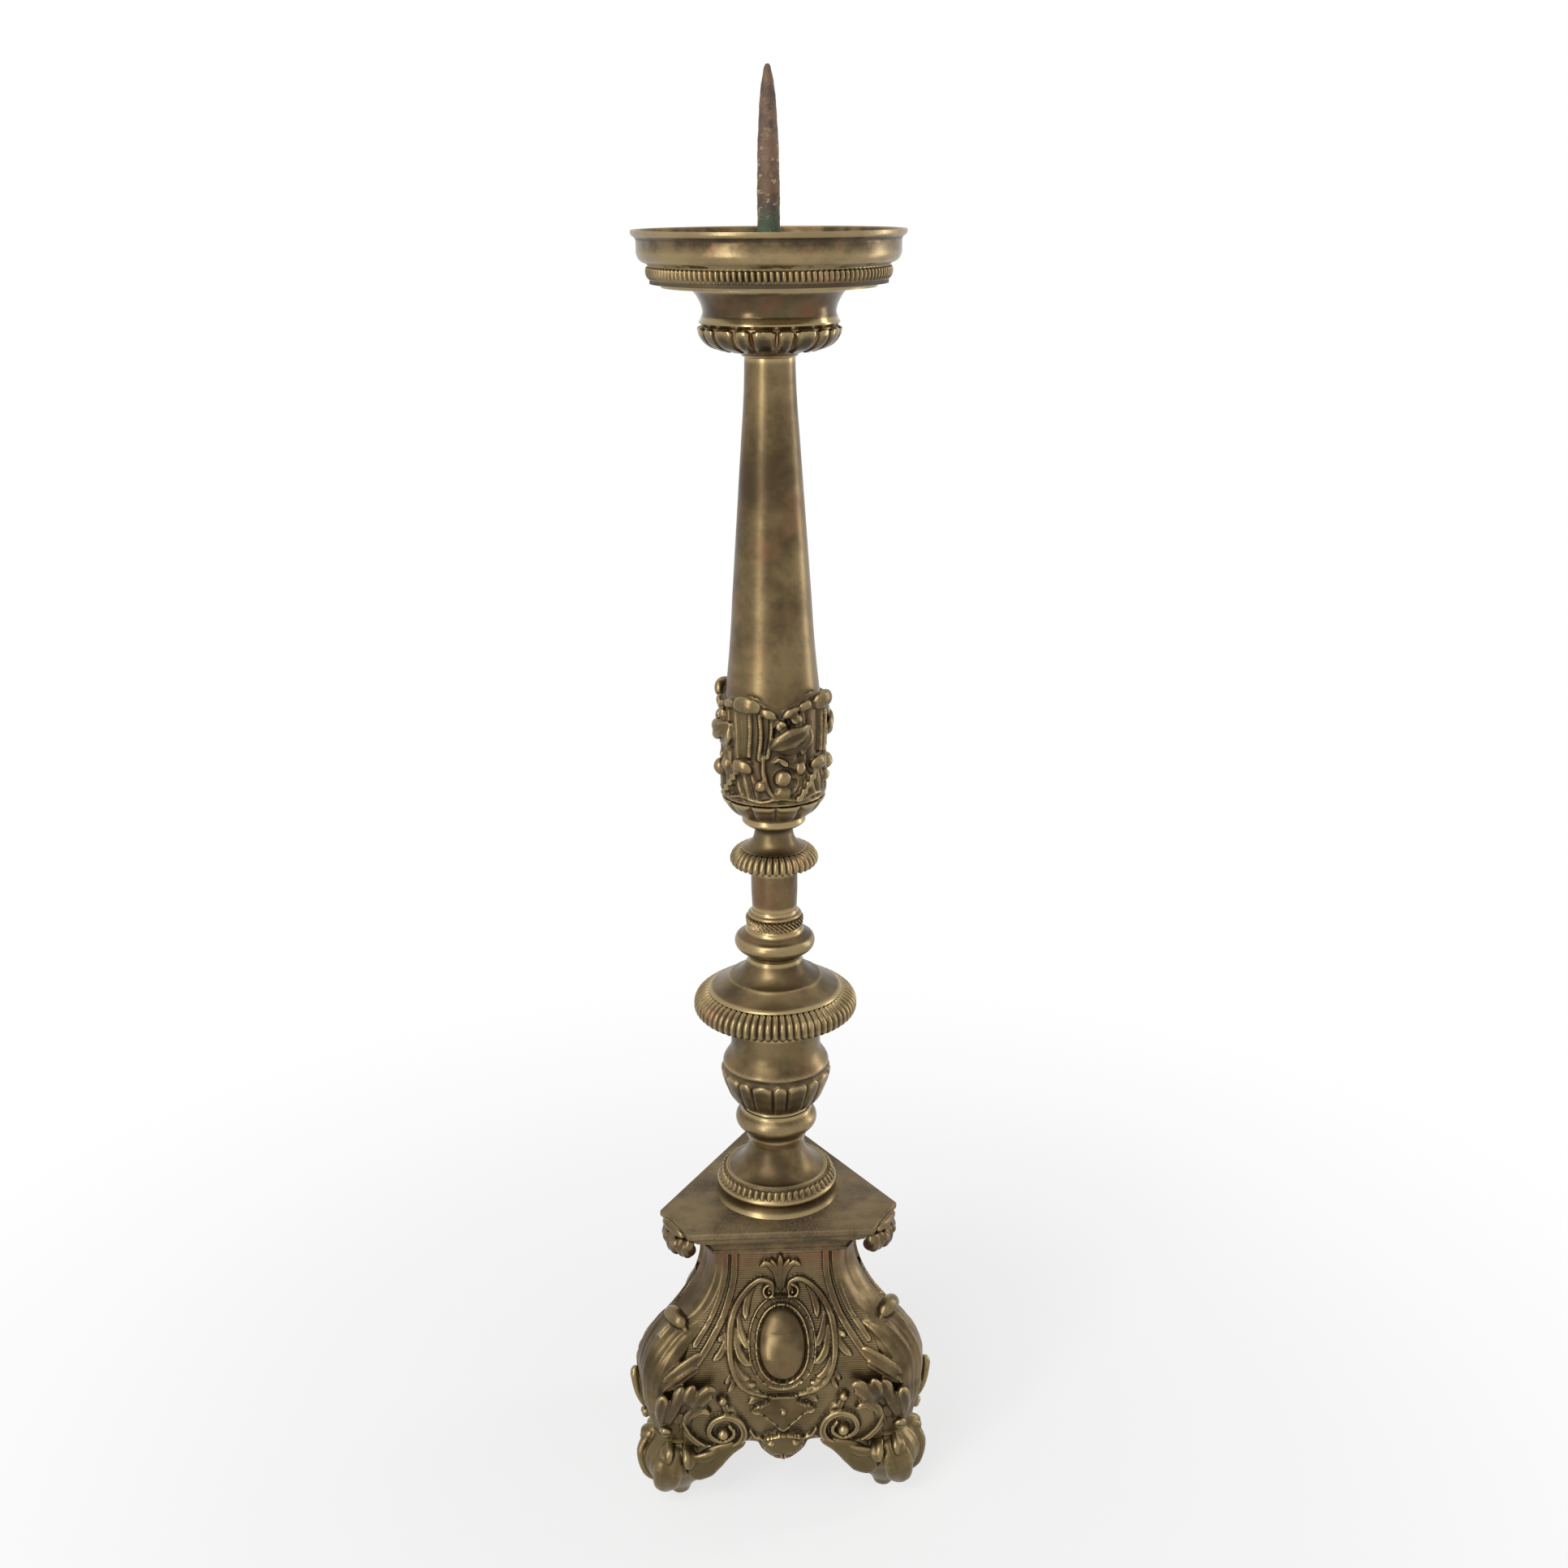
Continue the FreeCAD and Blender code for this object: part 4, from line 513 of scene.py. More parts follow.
def bud(spine, outward, widths, thicknesses, vein=0.0, segments=14, rings=16):
    """A leaf lobe or knob: a ball drawn out along a line, wide across and thin through."""
    spine = flowing(in_mm(spine), 6)
    outward = np.array(outward, dtype=float)
    clear_selection()
    bpy.ops.mesh.primitive_uv_sphere_add(segments=segments, ring_count=rings, radius=1.0)
    piece = bpy.context.active_object
    unit = mesh_points(piece)
    share = np.arccos(np.clip(-unit[:, 2], -1.0, 1.0)) / math.pi
    turn = np.arctan2(unit[:, 1], unit[:, 0])
    along = np.linspace(0.0, 1.0, len(spine))
    centre = np.stack([np.interp(share, along, spine[:, axis]) for axis in range(3)], axis=1)
    tangents = np.gradient(spine, axis=0)
    tangent = np.stack([np.interp(share, along, tangents[:, axis]) for axis in range(3)], axis=1)
    tangent /= np.linalg.norm(tangent, axis=1, keepdims=True) + 1e-12
    if outward.ndim == 1:
        out = np.tile(outward, (len(unit), 1))
    else:
        stops = np.linspace(0.0, 1.0, len(outward))
        out = np.stack([np.interp(share, stops, outward[:, axis]) for axis in range(3)], axis=1)
    out = out - tangent * np.einsum("ij,ij->i", out, tangent)[:, None]
    out /= np.linalg.norm(out, axis=1, keepdims=True) + 1e-12
    side = np.cross(tangent, out)
    cap = np.sqrt(np.clip(1.0 - np.abs(2.0 * share - 1.0) ** 4.0, 0.0, 1.0))
    width = np.interp(share, np.linspace(0.0, 1.0, len(widths)), np.array(widths)) * MM / 2.0 * cap
    thick = np.interp(share, np.linspace(0.0, 1.0, len(thicknesses)), np.array(thicknesses)) * MM / 2.0 * cap
    lift = np.sin(turn)
    hollow = 1.0 - vein * np.exp(-(np.cos(turn) / 0.35) ** 2) * (lift > 0.0)
    points = centre + side * (width * np.cos(turn))[:, None] + out * (thick * lift * hollow)[:, None]
    place_points(piece, points)
    bpy.ops.object.mode_set(mode="EDIT")
    bpy.ops.mesh.select_all(action="SELECT")
    bpy.ops.mesh.normals_make_consistent(inside=False)
    bpy.ops.object.mode_set(mode="OBJECT")
    return piece


def fused(pieces, step, smoothing=1):
    """Join pieces that run into each other and melt them into one skin."""
    clear_selection()
    for piece in pieces:
        piece.select_set(True)
    whole = pieces[0]
    bpy.context.view_layer.objects.active = whole
    bpy.ops.object.join()
    skin = whole.modifiers.new("skin", "REMESH")
    skin.mode = "VOXEL"
    skin.voxel_size = step
    bpy.ops.object.modifier_apply(modifier="skin")
    ease = whole.modifiers.new("ease", "SMOOTH")
    ease.factor = 0.5
    ease.iterations = smoothing
    bpy.ops.object.modifier_apply(modifier="ease")
    return whole


class Wire:
    """A socket of a finish that can be used in sums."""

    def __init__(self, finish, socket):
        self.finish = finish
        self.socket = socket

    def sum(self, operation, first, second):
        return self.finish.node("ShaderNodeMath", {"operation": operation}, {0: first, 1: second})

    def __add__(self, other):
        return self.sum("ADD", self, other)

    def __radd__(self, other):
        return self.sum("ADD", other, self)

    def __sub__(self, other):
        return self.sum("SUBTRACT", self, other)

    def __rsub__(self, other):
        return self.sum("SUBTRACT", other, self)

    def __mul__(self, other):
        return self.sum("MULTIPLY", self, other)

    def __rmul__(self, other):
        return self.sum("MULTIPLY", other, self)

    def __pow__(self, other):
        return self.sum("POWER", self, other)


class Finish:
    """The nodes of one finish."""

    def __init__(self, name):
        self.material = bpy.data.materials.new(name)
        self.material.use_nodes = True
        self.tree = self.material.node_tree
        self.tree.nodes.clear()
        self.place = self.node("ShaderNodeTexCoord", output="Object")

    def node(self, kind, settings=None, inputs=None, output=0):
        made = self.tree.nodes.new(kind)
        for name, value in (settings or {}).items():
            setattr(made, name, value)
        for key, value in (inputs or {}).items():
            if isinstance(value, Wire):
                self.tree.links.new(value.socket, made.inputs[key])
            else:
                made.inputs[key].default_value = value
        return Wire(self, made.outputs[output])

    def attribute(self, name):
        return self.node("ShaderNodeAttribute", {"attribute_name": name}, output="Fac")

    def noise(self, scale, detail, rough):
        return self.node("ShaderNodeTexNoise", {}, {"Vector": self.place, "Scale": scale, "Detail": detail,
                                                    "Roughness": rough}, "Fac")

    def between(self, value, low, high):
        """0 below the low value, 1 above the high one, smooth in between."""
        return self.node("ShaderNodeMapRange", {"interpolation_type": "SMOOTHSTEP"},
                         {"Value": value, "From Min": low, "From Max": high}, "Result")

    def mix(self, share, first, second):
        return self.node("ShaderNodeMix", {"data_type": "RGBA"}, {0: share, 6: first, 7: second}, 2)

    def split(self):
        parts = self.node("ShaderNodeSeparateXYZ", {}, {0: self.place})
        outputs = parts.socket.node.outputs
        return [Wire(self, outputs[number]) for number in range(3)]

    def bump(self, height, strength, distance):
        return self.node("ShaderNodeBump", {}, {"Strength": strength, "Distance": distance,
                                                "Height": height})

    def shade(self, **sockets):
        names = {"colour": "Base Color", "roughness": "Roughness", "metallic": "Metallic", "normal": "Normal"}
        inputs = {names[key]: value for key, value in sockets.items()}
        shader = self.node("ShaderNodeBsdfPrincipled", {}, inputs)
        self.node_output(shader)
        return self.material

    def node_output(self, shader):
        made = self.tree.nodes.new("ShaderNodeOutputMaterial")
        self.tree.links.new(shader.socket, made.inputs["Surface"])


def solid(colour):
    return (colour[0], colour[1], colour[2], 1.0)


def brass(name, gloss, copper, sooty=0.0, grain=1.0, dusty=False, glints=False, shaded=False, chased=False):
    """Aged brass: grime and painted shade in hollows, olive patina, rubbed high spots, a coppery blush here
    and there.

    Sooty work is darker all over. Work with glints has painted highlights in its grooves instead of grime.
    Shaded work is greener low down, with reddish painted shadow under the cornice. Chased work has a hatched
    ground."""
    tones = bpy.context.scene.candle_stand.brass
    f = Finish(name)
    wear_and_shade = f.attribute("wear_and_shade")
    z = f.split()[2]
    broad = f.noise(28.0, 4.0, 0.6)
    patch = f.noise(110.0, 3.0, 0.6)
    fine = f.noise(900.0, 2.0, 0.6)
    speck = f.noise(2600.0, 2.0, 0.5)
    colour = f.mix(f.between(broad, 0.34, 0.66), solid(tones.metal), solid(tones.patina))
    colour = f.mix(f.between(patch, 0.45, 0.75) * 0.45, colour, solid(tones.olive))
    blush = f.between(f.noise(46.0, 3.0, 0.5), 0.5, 0.7)
    colour = f.mix(blush * copper, colour, solid(tones.copper))
    if sooty:
        colour = f.mix(sooty, colour, solid(tones.grime_and_shade))
    if shaded:
        low_down = f.between(z + (broad - 0.5) * 40.0 * MM, 90.0 * MM, 40.0 * MM)
        # painted shadow of the plate: the band under the cornice is mixed towards copper
        under_cornice_shadow = f.between(z + (broad - 0.5) * 12.0 * MM, 132.0 * MM, 152.0 * MM)
        colour = f.mix(low_down * 0.4, colour, solid(tones.golden))
        colour = f.mix(under_cornice_shadow * 0.5, colour, solid(tones.copper))
    # painted shade with grime: hollows and faces that look down are mixed towards the grime tone
    dark = f.between(wear_and_shade + (patch - 0.5) * 0.2, 0.46, 0.08)
    bright = f.between(wear_and_shade + (fine - 0.5) * 0.2, 0.58, 0.95)
    colour = f.mix(bright * 0.6, colour, solid(tones.rubbed))
    fill = 0.85 if shaded or glints else 0.65
    # with glints the grooves get a painted highlight in the glint tone instead of grime
    colour = f.mix(dark * fill, colour, solid(tones.glint if glints else tones.grime_and_shade))
    roughness = gloss + 0.14 * broad + 0.1 * fine + 0.2 * dark - 0.06 * bright
    metallic = 0.85 + (0.1 if glints else -0.35) * dark + 0.1 * bright
    if dusty:
        veil = f.between(f.noise(700.0, 4.0, 0.7), 0.4, 0.75)
        grit = f.between(speck, 0.7, 0.76)
        colour = f.mix(veil * 0.5, colour, solid(tones.dust))
        colour = f.mix(grit, colour, solid(tones.grit))
        roughness = roughness + veil * 0.3
        metallic = metallic - veil * 0.4
    height = fine * 0.5 + speck * 0.25 + patch
    if chased:
        ground = f.attribute("chased")
        lines = f.node("ShaderNodeMath", {"operation": "SINE"}, {0: z * (math.tau / HATCH_PITCH)})
        height = height + lines * ground * 0.9
        colour = f.mix(f.between(lines * ground, 0.0, 1.0) * 0.25, colour, solid(tones.rubbed))
    return f.shade(colour=colour, roughness=roughness, metallic=metallic,
                   normal=f.bump(height, 0.35 * grain, 0.12 * MM))


def colour_setting(name, text, default):
    return bpy.props.FloatVectorProperty(name=name, description=text, subtype="COLOR", size=3, min=0.0,
                                         max=1.0, default=default)


class BrassTones(bpy.types.PropertyGroup):
    metal: colour_setting("Metal", "Brass under a thin patina", (0.225, 0.160, 0.074))
    patina: colour_setting("Patina", "Brown patina", (0.078, 0.051, 0.023))
    olive: colour_setting("Olive", "Greenish patches of the patina", (0.080, 0.063, 0.027))
    # the copper tone also tints the painted shadow under the cornice
    copper: colour_setting("Copper", "Reddish blush", (0.230, 0.105, 0.055))
    rubbed: colour_setting("Rubbed", "Bright metal on high spots", (0.480, 0.365, 0.185))
    # painted highlight: the glint tone lights up the grooves of the capital
    glint: colour_setting("Glint", "Coppery metal left bright in the grooves", (0.520, 0.300, 0.130))
    # the grime tone also paints the shade of hollows and undersides
    grime_and_shade: colour_setting("Grime", "Dirt in the hollows", (0.030, 0.021, 0.012))
    golden: colour_setting("Golden", "Greenish gold low on the base", (0.175, 0.130, 0.052))
    dust: colour_setting("Dust", "Dust on level surfaces", (0.300, 0.250, 0.180))
    grit: colour_setting("Grit", "Pale specks in the dust", (0.600, 0.560, 0.480))


class IronTones(bpy.types.PropertyGroup):
    rust: colour_setting("Rust", "Brown rust of the spike", (0.210, 0.125, 0.078))
    scale: colour_setting("Scale", "Black scale", (0.110, 0.078, 0.058))
    bare: colour_setting("Bare iron", "Rubbed iron", (0.300, 0.250, 0.200))
    wax: colour_setting("Wax", "Old candle wax", (0.560, 0.450, 0.240))
    verdigris: colour_setting("Verdigris", "Green corrosion at the foot of the spike", (0.070, 0.130, 0.075))


class StemSizes(bpy.types.PropertyGroup):
    rod_hole: bpy.props.FloatProperty(name="Rod hole", description="Radius of the hole of the rod",
                                      default=4.3 * MM, unit="LENGTH")
    flute_steps: bpy.props.IntProperty(name="Steps of a gadroon", description="Divisions across one gadroon",
                                       default=8, min=4, max=16)
    lobe_depth: bpy.props.FloatProperty(name="Lobe depth", description="Depth of the groove between lobes",
                                        default=1.5 * MM, unit="LENGTH")
    gadroon_depth: bpy.props.FloatProperty(name="Gadroon depth", description="Depth between fine gadroons",
                                           default=1.0 * MM, unit="LENGTH")


class BaseSizes(bpy.types.PropertyGroup):
    panel_wall: bpy.props.FloatProperty(name="Panel wall", description="Thickness of a side panel",
                                        default=2.0 * MM, unit="LENGTH")
    relief: bpy.props.FloatProperty(name="Relief", description="How far the carving of the panels stands out",
                                    default=1.0, subtype="FACTOR", min=0.2, max=2.0)
    carving_step: bpy.props.FloatProperty(name="Carving step", description="Fineness of the carved legs",
                                          default=0.6 * MM, unit="LENGTH")


class StageSettings(bpy.types.PropertyGroup):
    eye: bpy.props.FloatVectorProperty(name="Camera place", description="Where the camera stands",
                                       subtype="TRANSLATION", size=3, default=(-0.0397, -0.8962, 0.698))
    tilt: bpy.props.FloatVectorProperty(name="Camera turn", description="How the camera is turned",
                                        subtype="EULER", size=3,
                                        default=(math.radians(71.9), math.radians(0.36), math.radians(-3.0)))
    lens: bpy.props.FloatProperty(name="Lens", description="Focal length", default=42.17, unit="CAMERA")
    key: bpy.props.FloatProperty(name="Key lamp", description="Power of the large lamp", default=18.0,
                                 unit="POWER")
    fill: bpy.props.FloatProperty(name="Fill lamps", description="Power of the side lamps", default=9.0,
                                  unit="POWER")
    sky: bpy.props.FloatProperty(name="Room light", description="Strength of the light from all round",
                                 default=0.3, min=0.0, max=2.0)


class CandleStand(bpy.types.PropertyGroup):
    brass: bpy.props.PointerProperty(type=BrassTones, name="Brass", description="Colours of the brass")
    iron: bpy.props.PointerProperty(type=IronTones, name="Iron", description="Colours of the iron and wax")
    stem: bpy.props.PointerProperty(type=StemSizes, name="Stem", description="Sizes of the stem")
    base: bpy.props.PointerProperty(type=BaseSizes, name="Base", description="Sizes of the base")
    stage: bpy.props.PointerProperty(type=StageSettings, name="Stage", description="Camera and lamps")


made_finishes = {}


def finish_named(name):
    """A finish, made the first time that a piece asks for it."""
    if name in made_finishes:
        return made_finishes[name]
    makers = {
        "turned_brass": lambda: brass(name, 0.24, 0.35, 0.12),
        "cast_brass": lambda: brass(name, 0.22, 0.15, 0.15, grain=1.3, shaded=True),
        "panel_brass": lambda: brass(name, 0.2, 0.25, 0.25, shaded=True, chased=True),
        "leaf_brass": lambda: brass(name, 0.22, 0.3, 0.3),
        "plate_brass": lambda: brass(name, 0.42, 0.2, dusty=True),
        "neck_brass": lambda: brass(name, 0.1, 1.0, 0.45, grain=0.5),
        "capital_brass": lambda: brass(name, 0.12, 0.8, 0.75, grain=0.6, glints=True),
        "pan_brass": lambda: pan_finish(name),
        "rusted_iron": lambda: spike_finish(name),
        "black_iron": lambda: iron_finish(name),
        "steel_screw": lambda: steel_finish(name),
    }
    made_finishes[name] = makers[name]()
    return made_finishes[name]


def pan_finish(name):
    """Brass of the pan: wax and verdigris inside, coppery blotches, brown grime outside."""
    tones = bpy.context.scene.candle_stand.brass
    iron = bpy.context.scene.candle_stand.iron
    f = Finish(name)
    x, y, z = f.split()
    reach = (x * x + y * y) ** 0.5
    low_corner, high_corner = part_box("drip_pan")
    low = low_corner.z
    radius = high_corner.x / PAN_OUTSIDE_SHARE[-1][0]
    patch = f.noise(60.0, 5.0, 0.62)
    blotch = f.noise(150.0, 4.0, 0.6)
    fine = f.noise(900.0, 3.0, 0.6)
    colour = f.mix(f.between(patch, 0.38, 0.62), solid(tones.metal), solid(tones.patina))
    colour = f.mix(0.2, colour, solid(tones.grime_and_shade))
    colour = f.mix(f.between(blotch, 0.5, 0.7) * 0.5, colour, solid(tones.copper))
    wear_and_shade = f.attribute("wear_and_shade")
    # painted shade with grime: hollows and faces that look down go dark
    dark = f.between(wear_and_shade + (blotch - 0.5) * 0.2, 0.46, 0.08)
    bright = f.between(wear_and_shade + (fine - 0.5) * 0.2, 0.6, 1.0)
    floor = f.between(reach, 61.0 * MM, 58.5 * MM) * f.between(z, low + 1.2 * MM, low + 1.6 * MM)
    wall = (f.between(reach, 0.9535 * radius, 0.9505 * radius)
            * f.between(z, low + 14.5 * MM, low + 15.5 * MM))
    inside = f.between(floor + wall, 0.0, 1.0)
    stain = inside * f.between(patch + (blotch - 0.5) * 0.5, 0.32, 0.5)
    green = inside * f.between(blotch + (0.5 - patch) * 0.4, 0.52, 0.68)
    colour = f.mix(bright * 0.5, colour, solid(tones.rubbed))
    colour = f.mix(stain * 0.7, colour, solid(iron.wax))
    colour = f.mix(green * 0.65, colour, solid(iron.verdigris))
    colour = f.mix(dark * 0.9, colour, solid(tones.grime_and_shade))
    roughness = 0.2 + 0.2 * blotch + 0.3 * stain + 0.2 * dark
    metallic = 0.8 - 0.4 * dark - 0.35 * stain
    return f.shade(colour=colour, roughness=roughness, metallic=metallic,
                   normal=f.bump(fine * 0.5 + blotch + stain, 0.5, 0.15 * MM))


def spike_finish(name):
    """Rusty iron with bits of wax, and verdigris at its foot."""
    iron = bpy.context.scene.candle_stand.iron
    f = Finish(name)
    z = f.split()[2]
    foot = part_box("drip_pan")[0].z
    patch = f.noise(120.0, 4.0, 0.65)
    pit = f.noise(650.0, 4.0, 0.7)
    fine = f.noise(2200.0, 2.0, 0.6)
    colour = f.mix(f.between(patch, 0.38, 0.6), solid(iron.rust), solid(iron.scale))
    colour = f.mix(f.between(pit, 0.52, 0.72) * 0.6, colour, solid(iron.bare))
    wax = (f.between(f.noise(260.0, 3.0, 0.6), 0.56, 0.62)
           * f.between(z, foot + 90.0 * MM, foot + 30.0 * MM))
    green = f.between(z + patch * 10.0 * MM, foot + 46.0 * MM, foot + 30.0 * MM)
    colour = f.mix(wax, colour, solid(iron.wax))
    colour = f.mix(green * 0.8, colour, solid(iron.verdigris))
    roughness = 0.55 + 0.2 * pit
    metallic = 0.55 - 0.45 * wax - 0.4 * green
    return f.shade(colour=colour, roughness=roughness, metallic=metallic,
                   normal=f.bump(pit + fine * 0.4 + wax, 0.8, 0.35 * MM))


def iron_finish(name):
    """Black iron with rust coming through."""
    iron = bpy.context.scene.candle_stand.iron
    f = Finish(name)
    patch = f.noise(140.0, 4.0, 0.65)
    pit = f.noise(800.0, 3.0, 0.7)
    colour = f.mix(f.between(patch, 0.45, 0.62), solid(iron.scale), solid(iron.rust))
    return f.shade(colour=colour, roughness=0.5 + 0.25 * pit, metallic=0.7 - 0.3 * patch,
                   normal=f.bump(pit + patch, 0.5, 0.2 * MM))


def steel_finish(name):
    """Dull steel of the screws."""
    iron = bpy.context.scene.candle_stand.iron
    f = Finish(name)
    patch = f.noise(200.0, 3.0, 0.6)
    fine = f.noise(1500.0, 2.0, 0.5)
    colour = f.mix(f.between(patch, 0.5, 0.7), solid(iron.bare), solid(iron.rust))
    return f.shade(colour=colour, roughness=0.35 + 0.2 * fine, metallic=0.95 - 0.3 * patch,
                   normal=f.bump(fine + patch, 0.3, 0.1 * MM))


def three_copies(piece, name, bearing, node):
    """Finish a piece and its copies turned to the three sides, each with its own mesh."""
    for number in range(1, SIDES + 1):
        copy = piece
        if number < SIDES:
            copy = piece.copy()
            copy.data = piece.data.copy()
            bpy.context.scene.collection.objects.link(copy)
        pick(copy)
        turn = bearing + (number - 1) * SIDE_TURN
        bpy.ops.transform.rotate(value=-turn, orient_axis="Z", center_override=(0.0, 0.0, 0.0))
        finish_piece(copy, "%s_%d" % (name, number), "stand", "cast_brass", "%s_%d" % (node, number))


def leg_width_at(height):
    """Half the width of a leg at a height over the floor."""
    line = real_outline(LEG_WIDTH_SHARE, 1.0, 1.0)
    return LEG_NECK_HALF + LEG_SWELL * np.interp((height - LEG_LOW) / LEG_HEIGHT, line[:, 1], line[:, 0])


def leg_reach_at(height):
    """How far a leg's front stands from the middle of the stand."""
    line = real_outline(LEG_FACE_SHARE, LEG_BELLY, LEG_HEIGHT)
    return LEG_NECK_REACH + np.interp(height - LEG_LOW, line[:, 1], line[:, 0])


def panel_reach_at(height):
    """How far a panel's ground stands from the middle of the stand."""
    line = real_outline(PANEL_FACE_SHARE, PANEL_BELLY, PANEL_HEIGHT)
    return PANEL_NECK_REACH + np.interp(height - PANEL_LOW, line[:, 1], line[:, 0])


# Leaf lobes of a panel's right half: stops across and up, width and rise, all in millimetres.
WREATH_LOBES = [
    ([(14.5, 128.5), (17.5, 123.5), (19.2, 118), (19.4, 113.5)], 5.0, 2.6),
    ([(23.6, 115), (22.2, 107.5), (19.6, 102.6), (18.0, 101.0)], 4.8, 2.8),
    ([(25.6, 109), (23.8, 100), (20.8, 95), (17.4, 93.2)], 5.4, 3.2),
    ([(27, 97), (24.6, 90), (21.6, 86.2), (18.4, 85.4)], 4.6, 2.9),
    ([(25, 88.5), (22.2, 83.6), (18.8, 81), (15.4, 81.6)], 4.2, 2.7),
    ([(21, 80.5), (16.5, 77.2), (12.6, 76.6)], 3.2, 2.0),
    ([(26.6, 121), (29.2, 117.6), (31, 114.6)], 3.6, 2.6),
    ([(28.6, 109), (30.4, 103.6), (33.4, 98.8), (37.2, 96)], 4.8, 2.8),
    ([(28.6, 108.4), (31.4, 106.2), (34.4, 104.6)], 3.4, 2.6),
    ([(27, 87), (27.4, 81.6), (29.6, 78.2)], 3.4, 2.6),
    ([(27.4, 90), (29.4, 85), (31.2, 82.6)], 2.8, 2.2),
    ([(1.4, 128), (3.2, 137), (7.4, 142.6), (10.8, 140.8)], 3.8, 3.2),
    ([(1, 130), (2, 139), (5.0, 144.8)], 2.8, 3.0),
    ([(0, 126.5), (0, 137), (0, 147)], 4.4, 3.4),
    ([(8.6, 69.8), (13, 71.8), (18.6, 70.2)], 4.4, 2.4),
]
LOW_LOBES = [
    ([(56, 64), (50, 71.5), (45, 73.6), (41.4, 71.6)], 4.6, 4.6),
    ([(55, 57), (49, 63.5), (44, 66.6), (39.8, 65.4)], 4.2, 4.2),
    ([(30.4, 60.5), (30.8, 66), (32.6, 72.6)], 4.8, 4.2),
    ([(25, 60.5), (27, 65), (30, 67)], 3.0, 2.8),
    ([(22, 45.5), (25.5, 40.8), (30.5, 38.6)], 4.4, 3.0),
    ([(14.5, 47), (18, 43.6), (21.6, 42)], 4.0, 2.6),
    ([(36, 40), (42, 39), (48, 42)], 4.4, 3.2),
    ([(0, 46), (0, 31)], 5.0, 5.6),
    ([(2.4, 45.5), (5.6, 34)], 4.2, 5.4),
    ([(5, 44.5), (10.2, 38)], 4.0, 4.8),
]
SHIELD_HALF_WIDTH = [
    (74, 7.7), (70.4, 7.7), (69.2, 9), (67.2, 14.8), (65.4, 17.4), (64, 15.6), (62.8, 11.8), (59.4, 8),
    (57.2, 6.2), (56, 4.4), (53.6, 3.4), (51, 0),
]


